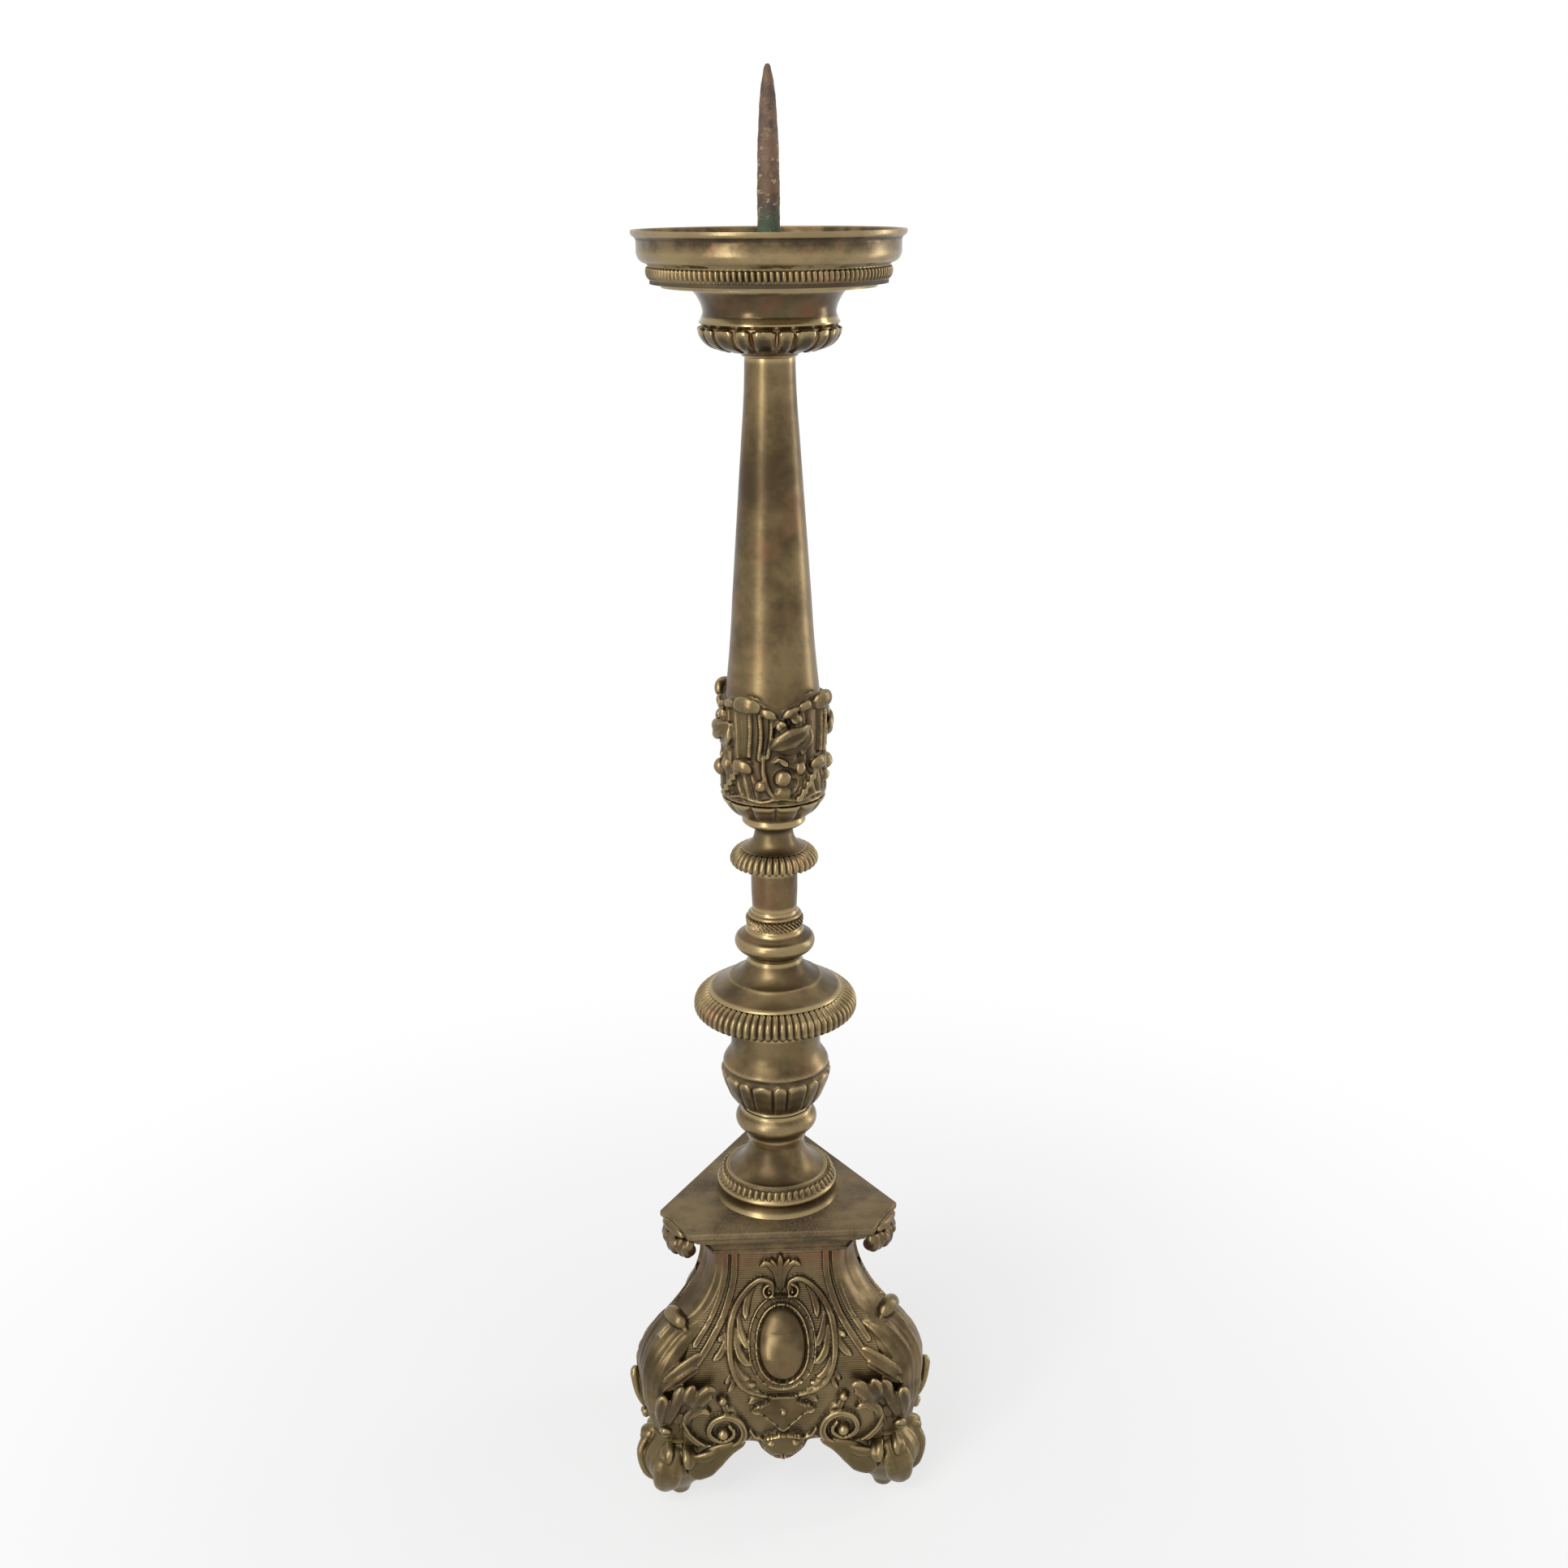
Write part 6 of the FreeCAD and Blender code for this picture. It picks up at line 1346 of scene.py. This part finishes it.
def build_sleeve():
    """Leaf sleeve: four tall leaves with rolled tips, small curled leaves and a twisted leaf between them."""
    leaves = 4
    columns = 108
    rows = 118
    foot = 401.2
    top = 458.0
    quarter = math.tau / leaves
    radius = 25.0
    side = np.linspace(-0.5, 0.5, columns, endpoint=False) * quarter * radius
    side, up = np.meshgrid(side, np.linspace(foot, top, rows))
    field = Relief(side * MM, up * MM)
    half = quarter * radius / 2.0
    field.height += 0.5 * MM
    # tall leaf: three notched ribs on its right, smooth folds on its left
    notch = 0.5 + 0.5 * np.sin(up / 1.35 * math.tau)
    for line in ([(4.8, 450), (5.2, 440), (4.4, 427)], [(10, 449), (10.6, 438), (9.4, 426)],
                 [(15.8, 447), (15.4, 438), (13.6, 427)]):
        near, beside, along = field.beside(flowing(in_mm(line)), 3.0 * MM)
        share = np.clip(np.abs(beside) / (1.5 * MM), 0.0, 1.0)
        lift = (2.4 + 0.8 * notch[near]) * MM * np.sqrt(1.0 - share ** 2)
        field.lift(near, np.where(share < 1.0, lift, 0.0))
    for line, width, rise in (([(-3.4, 451), (-3, 436), (-2.4, 422)], 5.0, 2.8),
                              ([(-8.6, 450), (-8, 436), (-7.4, 420)], 4.6, 3.2),
                              ([(-13.4, 446), (-13, 434), (-12, 416)], 4.0, 2.6),
                              ([(0.8, 420), (2.6, 412), (4.4, 404)], 4.6, 2.8),
                              ([(-3, 419), (-2, 411), (0.6, 404)], 3.6, 2.4),
                              ([(5.4, 418), (7.4, 411), (8.6, 404)], 3.4, 2.4),
                              ([(11.6, 427), (11.6, 419), (14, 410), (18, 404.6)], 3.6, 3.0)):
        field.ridge(flowing(in_mm(line)), width * MM, rise * MM, (0.8, 0.7))
    # twisted leaf in the gap, drawn round the gap's middle
    beyond = np.where(side > 0.0, side - half, side + half)
    gap = Relief(beyond * MM, up * MM)
    gap.dome(in_mm((5.0, 434.0)), 9.0 * MM, 7.0 * MM, 3.4 * MM, 2.0)
    for line, width, rise in (
            ([(-5.2, 432.6), (2.8, 436.6), (8.5, 438.5), (14, 441.5)], 8.0, 5.4),
            ([(14, 442), (12.8, 435), (10.4, 428.4)], 6.5, 4.6),
            ([(-1.2, 447), (0.8, 444.6), (2.2, 441.6)], 5.5, 4.0),
            ([(5, 450), (8, 447), (9.4, 444)], 5.0, 3.4),
            ([(-3.6, 424), (0, 425.4), (3.4, 422.4)], 4.0, 4.0)):
        gap.lobe(flowing(in_mm(line)), width * MM, rise * MM)
    for reach in (7.6, 9.4, 11.2, 13.0):
        arc = [(1.4 + reach * math.cos(turn), 414.0 + reach * 1.15 * math.sin(turn))
               for turn in np.linspace(math.radians(-50), math.radians(75), 14)]
        gap.ridge(in_mm(arc), 2.1 * MM, (3.0 - 0.05 * reach) * MM, (0.6, 0.5))
    gap.dome(in_mm((1.2, 416.0)), 4.6 * MM, 4.8 * MM, 5.4 * MM, 2.0)
    gap.dome(in_mm((1.9, 408.0)), 4.8 * MM, 3.6 * MM, 2.8 * MM, 2.2)
    frayed = flowing(in_mm([(8.2, 404.6), (12, 409.4), (16, 415.4), (19.6, 421)]))
    near, beside, along = gap.beside(frayed, 4.0 * MM)
    ragged = (2.6 + 1.1 * np.sin(along * 31.0)) * MM / 2.0
    gap.lift(near, np.where(np.abs(beside) < ragged, 4.6 * MM, 0.0))
    field.height = np.maximum(field.height, gap.height)
    # wavy rim over the plain band
    rim = 404.4 + 0.9 * np.cos(side / half * math.pi * 2.0)
    field.height = np.maximum(field.height, (3.0 - 1.4 * np.abs(up - rim)) * MM)
    field.height = np.where(up < 402.4, 2.0 * MM, field.height)
    # upper edge: high at the leaves, low between them
    crest = np.interp(np.abs(side), (0.0, 8.0, 12.0, half), (456.0, 455.0, 453.4, 450.4))
    shown = smooth_step((crest - up) / 1.2 + 1.0)
    shaft = 24.7 - 0.0001 * (up - 401.0)
    reach = shaft - 1.2 + (1.2 + field.height / MM) * shown
    turns = []
    for number in range(leaves):
        turn = side / radius + number * quarter
        turns.append(np.stack((reach * np.cos(turn), reach * np.sin(turn), up), axis=-1))
    outer = np.concatenate(turns + [turns[0][:, :1]], axis=1)
    inner = outer[:1]
    ring = np.hypot(inner[..., 0], inner[..., 1])[..., None]
    inner_low = np.concatenate((inner[..., :2] * 22.0 / ring, inner[..., 2:]), axis=-1)
    inner_high = inner_low.copy()
    inner_high[..., 2] = top
    pieces = [sheet_piece(np.concatenate((inner_low, outer, inner_high, inner_low), axis=0) * MM)]
    for number in range(leaves):
        turn = number * quarter
        for stops, widths, thicknesses, vein in SLEEVE_LEAVES:
            places = []
            outs = []
            for across, height, lift in stops:
                angle = turn + across / radius
                out = np.array((math.cos(angle), math.sin(angle), 0.0))
                places.append(out * (radius + lift) + (0.0, 0.0, height))
                outs.append(out)
            pieces.append(bud(places, outs, widths, thicknesses, vein))
    sleeve = fused(pieces, 0.6 * MM, 2)
    mark_wear_and_shade(sleeve, 16, 0.45 * MM)
    dress(sleeve, finish_named("leaf_brass"), 70.0)
    bpy.ops.transform.rotate(value=math.radians(40.0), orient_axis="Z", center_override=(0.0, 0.0, 0.0))
    finish_piece(sleeve, "acanthus_sleeve", "stand", "leaf_brass", "leaf_sleeve")


# Rolled tips and curls of the sleeve: stops of distance round, height and lift off the shaft.
SLEEVE_LEAVES = [
    ([(-2.5, 450.4, 1.8), (1.5, 453.6, 3.4), (6.5, 453.8, 4), (10.8, 450.6, 2.8)],
     (6, 9, 9, 6), (5, 6, 6, 5), 0.0),
    ([(-2, 452.4, 1.6), (-6.6, 452.6, 2), (-11, 450.6, 1.6)], (4, 5, 4), (3, 3.5, 3), 0.0),
    ([(10.4, 451.4, 1.6), (14.4, 449.4, 2.2), (18.6, 446.4, 1)], (4, 5, 3), (3, 3.5, 2.5), 0.0),
    ([(20.6, 446.8, 1), (24, 449.6, 2.2), (29, 452, 2)], (3, 5, 3), (2.5, 3.5, 3), 0.0),
    ([(15, 431.6, 1.4), (19, 434.6, 3.8), (24, 437.4, 4.6), (29, 439.6, 4.2), (34, 443, 2.6)],
     (4, 9, 11, 8, 4), (4, 5, 6, 5, 3), 0.35),
    ([(33, 442, 2.4), (32.4, 436, 3.6), (30, 429.6, 1.8)], (4, 7, 4), (4, 5, 4), 0.35),
    ([(18.4, 446, 1), (20, 443.6, 2.8), (22, 441, 1.6)], (4, 6, 5), (3, 4, 3), 0.3),
    ([(24, 449, 1.4), (27, 446.4, 3), (28.6, 443, 2)], (4, 6, 4), (3, 4, 3), 0.3),
    ([(18.6, 420, 1.2), (20.6, 416.4, 3), (22.2, 412, 1.2)], (6, 9, 6), (4, 6, 4), 0.0),
    ([(-3.8, 419.6, 1.4), (-0.6, 422, 3.2), (3, 421.4, 3.2), (5.8, 418, 1.4)],
     (5, 7, 7, 5), (4, 5, 5, 4), 0.0),
    ([(8.4, 414.4, 0.8), (10.2, 412, 2.4), (10.8, 409, 0.8)], (4, 6, 4), (3, 4, 3), 0.0),
    ([(-9, 424.4, 1), (-10, 420.6, 2.6), (-9.4, 416.6, 1)], (4, 6, 4), (3, 4, 3), 0.0),
]


class CANDLESTAND_OT_sleeve(bpy.types.Operator):
    """Model the sleeve of tall acanthus leaves round the foot of the shaft"""
    bl_idname = "candlestand.sleeve"
    bl_label = "Leaf sleeve"

    def execute(self, context):
        build_sleeve()
        return {"FINISHED"}


class CANDLESTAND_OT_stem(bpy.types.Operator):
    """Turn the plain pieces of the stem and those with rings of beads, gadroons and lobes"""
    bl_idname = "candlestand.stem"
    bl_label = "Stem"

    def execute(self, context):
        sizes = context.scene.candle_stand.stem
        steps = sizes.flute_steps
        fine = sizes.gadroon_depth
        deep = sizes.lobe_depth
        turned_piece("bell_foot", BELL_FOOT_SHARE)
        turned_piece("foot_bead_ring", FOOT_BEAD_RING_SHARE, steps=52 * 10, hole=27.0 * MM, step=0.4 * MM,
                     lobes=dict(band=(0.02, 0.95), count=52, depth=fine, fullness=2.0, arch=(0.3, 0.3)))
        turned_piece("lower_torus", LOWER_TORUS_SHARE)
        turned_piece("urn_bowl", URN_BOWL_SHARE, steps=18 * 20,
                     above=(("urn_neck", URN_NECK_SHARE),), rounds=8,
                     lobes=dict(band=(0.03, 0.5), count=18, depth=deep, fullness=6.0, arch=(0.02, 0.12),
                                broad=0.6))
        turned_piece("knop_rim", KNOP_RIM_SHARE, steps=68 * steps,
                     lobes=dict(band=(0.2, 1.25), count=68, depth=1.2 * fine, fullness=2.0, arch=(0.05, 0)))
        turned_piece("knop_dome", KNOP_DOME_SHARE)
        turned_piece("torus_ring", TORUS_RING_SHARE)
        turned_piece("rope_ring", ROPE_RING_SHARE, steps=36 * 12,
                     lobes=dict(band=(0.08, 0.66), count=36, depth=1.3 * MM, fullness=2.0, slant=0.45))
        turned_piece("stem_collar", STEM_COLLAR_SHARE)
        turned_piece("upper_disc", UPPER_DISC_SHARE, steps=38 * 10,
                     lobes=dict(band=(0.05, 1.25), count=38, depth=1.2 * fine, fullness=2.2, arch=(0.06, 0)))
        turned_piece("upper_neck", UPPER_NECK_SHARE)
        turned_piece("leaf_calyx", LEAF_CALYX_SHARE, "leaf_brass", "leaf_brass", steps=12 * 20,
                     lobes=dict(band=(0.1, 1.05), count=12, depth=deep, fullness=4.0))
        turned_piece("shaft_tube", SHAFT_TUBE_SHARE, steps=112, step=2.5 * MM, wear_and_shade_rounds=2)
        turned_piece("capital_bowl", CAPITAL_BOWL_SHARE, "capital_brass", steps=20 * 18,
                     hole=7.3 * MM, lobes=dict(band=(0.1, 0.9), count=20, depth=1.4 * deep, fullness=5.0,
                                               arch=(0.02, 0.12), broad=0.6))
        turned_piece("capital_neck", CAPITAL_NECK_SHARE, "neck_brass", hole=22.0 * MM)
        return {"FINISHED"}


class CANDLESTAND_OT_pan(bpy.types.Operator):
    """Turn the drip pan, press its gadrooned ring and forge the spike"""
    bl_idname = "candlestand.pan"
    bl_label = "Pan and spike"

    def execute(self, context):
        low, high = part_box("drip_pan")
        radius = high.x / PAN_OUTSIDE_SHARE[-1][0]
        height = high.z - low.z
        outside = worn(even_line(real_outline(PAN_OUTSIDE_SHARE, radius, height), OUTLINE_STEP), 1)
        outside[:, 0] *= high.x / outside[:, 0].max()
        inside = worn(even_line(real_outline(PAN_INSIDE_SHARE, radius, height), 0.9 * MM), 1)
        hole = 6.2 * MM
        floor = even_line(np.array([inside[-1], (hole, inside[-1][1])]), 3.0 * MM)[1:]
        under = even_line(np.array([(hole, 0.0), outside[0]]), CAP_STEP)
        line = np.concatenate((outside, inside, floor, under))
        line[:, 1] += low.z
        pan = spin_line(line, 192)
        mark_wear_and_shade(pan)
        dress(pan, finish_named("pan_brass"))
        finish_piece(pan, "drip_pan_turned", "pan", "pan_brass", "drip_pan")
        turned_piece("pan_gadroon_ring", PAN_RING_SHARE, slot="pan_brass", body="pan", steps=128 * 7,
                     hole=56.4 * MM, step=0.5 * MM,
                     lobes=dict(band=(0.02, 1.0), count=128, depth=1.2 * MM, fullness=2.2, arch=(0.06, 0.08),
                                slant=0.008))
        forge_spike()
        return {"FINISHED"}


def forge_spike():
    """The pointed iron spike, turned and then dented by hand."""
    low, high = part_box("pricket_spike")
    radius = 11.0 * MM
    height = high.z - low.z
    line = worn(even_line(real_outline(SPIKE_SHARE, radius, height), 1.0 * MM), 1)
    collar = real_outline([(1.0, 0.0, 0), (1.0, 1.0, 0)], radius, 4.6 * MM)
    collar[:, 1] += 18.0 * MM
    boss = real_outline([(0.636, 0.0, 0), (0.636, 1.0, 0)], radius, 18.0 * MM)
    shank = line[line[:, 1] > 22.6 * MM]
    outline = np.concatenate((boss, collar, [(5.4 * MM, 22.6 * MM)], shank, [(0.0, height)]))
    outline = np.concatenate(([(0.0, 0.0)], outline))
    outline[:, 1] += low.z
    spike = spin_line(outline, 40)
    points = mesh_points(spike)
    reach = np.hypot(points[:, 0], points[:, 1])
    turn = np.arctan2(points[:, 1], points[:, 0])
    up = points[:, 2] / MM
    dent = (0.22 * np.sin(up * 0.31 + 2.0 * np.sin(turn)) + 0.16 * np.sin(up * 0.83 + turn * 3.0)
            + 0.1 * np.sin(up * 2.1 + turn * 5.0))
    shank = (up > 655.0) & (reach > 0.5 * MM)
    scale = np.where(shank, 1.0 - (0.25 - dent) * 0.35 * MM / np.maximum(reach, 2.0 * MM), 1.0)
    points[:, 0] *= scale
    points[:, 1] *= scale
    place_points(spike, points)
    mark_wear_and_shade(spike)
    dress(spike, finish_named("rusted_iron"))
    finish_piece(spike, "forged_spike", "stand", "rusted_iron", "pricket_spike")


class CANDLESTAND_OT_metal(bpy.types.Operator):
    """Give the plain fittings that come from the frame their finishes"""
    bl_idname = "candlestand.metal"
    bl_label = "Fittings"

    def execute(self, context):
        finishes = {
            "base_bridge": "black_iron", "bridge_screws": "steel_screw", "tie_washer": "black_iron",
            "tie_nut": "black_iron", "tie_rod": "black_iron", "foot_screws": "steel_screw",
            "seat_washer": "black_iron",
        }
        for node, finish in finishes.items():
            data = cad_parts[node].data
            data.materials.clear()
            data.materials.append(finish_named(finish))
        return {"FINISHED"}


class CANDLESTAND_OT_stage(bpy.types.Operator):
    """Set up the floor, the backdrop, the lamps and the camera"""
    bl_idname = "candlestand.stage"
    bl_label = "Stage"

    def execute(self, context):
        settings = context.scene.candle_stand.stage
        clear_selection()
        bpy.ops.mesh.primitive_plane_add(size=2.0, location=(0.0, 0.0, 0.0))
        floor = context.active_object
        bpy.ops.object.mode_set(mode="EDIT")
        bpy.ops.transform.resize(value=(4.0, 4.0, 1.0))
        bpy.ops.mesh.subdivide(number_cuts=4)
        bpy.ops.object.mode_set(mode="OBJECT")
        floor.name = "studio_floor"
        floor.location.z = -0.2 * MM
        floor.data.materials.append(floor_finish())
        build_world(settings)
        add_lamp("key_lamp", (-0.9, -1.3, 1.9), (0.0, 0.0, 0.35), (1.1, 1.1), settings.key)
        add_lamp("left_lamp", (-1.0, -1.25, 0.6), (0.0, 0.0, 0.4), (0.3, 1.4), settings.fill)
        add_lamp("right_lamp", (1.45, 0.4, 0.6), (0.0, 0.0, 0.4), (0.3, 1.4), settings.fill * 0.7)
        bpy.ops.object.camera_add(location=settings.eye, rotation=settings.tilt)
        camera = context.active_object
        camera.name = "photo_camera"
        camera.data.sensor_width = 36.0
        camera.data.lens = settings.lens
        camera.data.clip_start = 0.01
        camera.data.clip_end = 50.0
        context.scene.camera = camera
        context.scene.view_settings.view_transform = "Standard"
        return {"FINISHED"}


def floor_finish():
    """A pale matt floor that is white to the camera and in reflections but keeps the shadow."""
    f = Finish("studio_floor")
    path = f.node("ShaderNodeLightPath")
    outputs = path.socket.node.outputs
    seen = Wire(f, outputs["Is Camera Ray"]) + Wire(f, outputs["Is Glossy Ray"])
    matt = f.node("ShaderNodeBsdfDiffuse", {}, {"Color": (0.9, 0.9, 0.9, 1.0)})
    glow = f.node("ShaderNodeEmission", {}, {"Color": (1.0, 1.0, 1.0, 1.0), "Strength": 1.0})
    away = f.node("ShaderNodeVectorMath", {"operation": "LENGTH"}, {0: f.place}, "Value")
    plain = 0.72 + 0.28 * f.between(away, 0.12, 0.7)
    share = f.node("ShaderNodeMath", {"operation": "MULTIPLY", "use_clamp": True}, {0: seen, 1: plain})
    mixed = f.node("ShaderNodeMixShader", {}, {0: share, 1: matt, 2: glow})
    f.node_output(mixed)
    return f.material


def build_world(settings):
    """Even light from all round, seen as white."""
    world = bpy.data.worlds.new("studio_world")
    bpy.context.scene.world = world
    world.use_nodes = True
    tree = world.node_tree
    tree.nodes.clear()
    path = tree.nodes.new("ShaderNodeLightPath")
    seen = tree.nodes.new("ShaderNodeMath")
    seen.operation = "ADD"
    seen.use_clamp = True
    tree.links.new(path.outputs["Is Camera Ray"], seen.inputs[0])
    tree.links.new(path.outputs["Is Glossy Ray"], seen.inputs[1])
    strength = tree.nodes.new("ShaderNodeMapRange")
    strength.inputs["To Min"].default_value = settings.sky
    strength.inputs["To Max"].default_value = 1.0
    tree.links.new(seen.outputs[0], strength.inputs["Value"])
    background = tree.nodes.new("ShaderNodeBackground")
    background.inputs["Color"].default_value = (1.0, 1.0, 1.0, 1.0)
    tree.links.new(strength.outputs["Result"], background.inputs["Strength"])
    output = tree.nodes.new("ShaderNodeOutputWorld")
    tree.links.new(background.outputs[0], output.inputs["Surface"])


def add_lamp(name, place, aim, size, power):
    """A soft rectangular lamp turned towards a point."""
    turn = (Vector(aim) - Vector(place)).to_track_quat("-Z", "Y").to_euler()
    bpy.ops.object.light_add(type="AREA", location=place, rotation=turn)
    lamp = bpy.context.active_object
    lamp.name = name
    lamp.data.shape = "RECTANGLE"
    lamp.data.size = size[0]
    lamp.data.size_y = size[1]
    lamp.data.energy = power


class CANDLESTAND_PT_panel(bpy.types.Panel):
    """Lists the pieces of the candle stand"""
    bl_label = "Candle Stand"
    bl_idname = "CANDLESTAND_PT_panel"
    bl_space_type = "VIEW_3D"
    bl_region_type = "UI"
    bl_category = "Candle Stand"

    def draw(self, context):
        for operator in OPERATORS:
            self.layout.operator(operator.bl_idname)


OPERATORS = (
    CANDLESTAND_OT_stage, CANDLESTAND_OT_metal, CANDLESTAND_OT_feet, CANDLESTAND_OT_legs,
    CANDLESTAND_OT_panels, CANDLESTAND_OT_clasps, CANDLESTAND_OT_plate, CANDLESTAND_OT_stem,
    CANDLESTAND_OT_sleeve, CANDLESTAND_OT_pan,
)
GROUPS = (BrassTones, IronTones, StemSizes, BaseSizes, StageSettings, CandleStand)


def register():
    for group in GROUPS + OPERATORS + (CANDLESTAND_PT_panel,):
        bpy.utils.register_class(group)
    bpy.types.Scene.candle_stand = bpy.props.PointerProperty(type=CandleStand, name="Candle stand",
                                                             description="Sizes and colours")


def unregister():
    del bpy.types.Scene.candle_stand
    for group in (CANDLESTAND_PT_panel,) + OPERATORS[::-1] + GROUPS[::-1]:
        bpy.utils.unregister_class(group)


def main():
    register()
    bpy.ops.candlestand.stage()
    bpy.ops.candlestand.metal()
    bpy.ops.candlestand.feet()
    bpy.ops.candlestand.legs()
    bpy.ops.candlestand.panels()
    bpy.ops.candlestand.clasps()
    bpy.ops.candlestand.plate()
    bpy.ops.candlestand.stem()
    bpy.ops.candlestand.sleeve()
    bpy.ops.candlestand.pan()


if __name__ == "__main__":
    main()
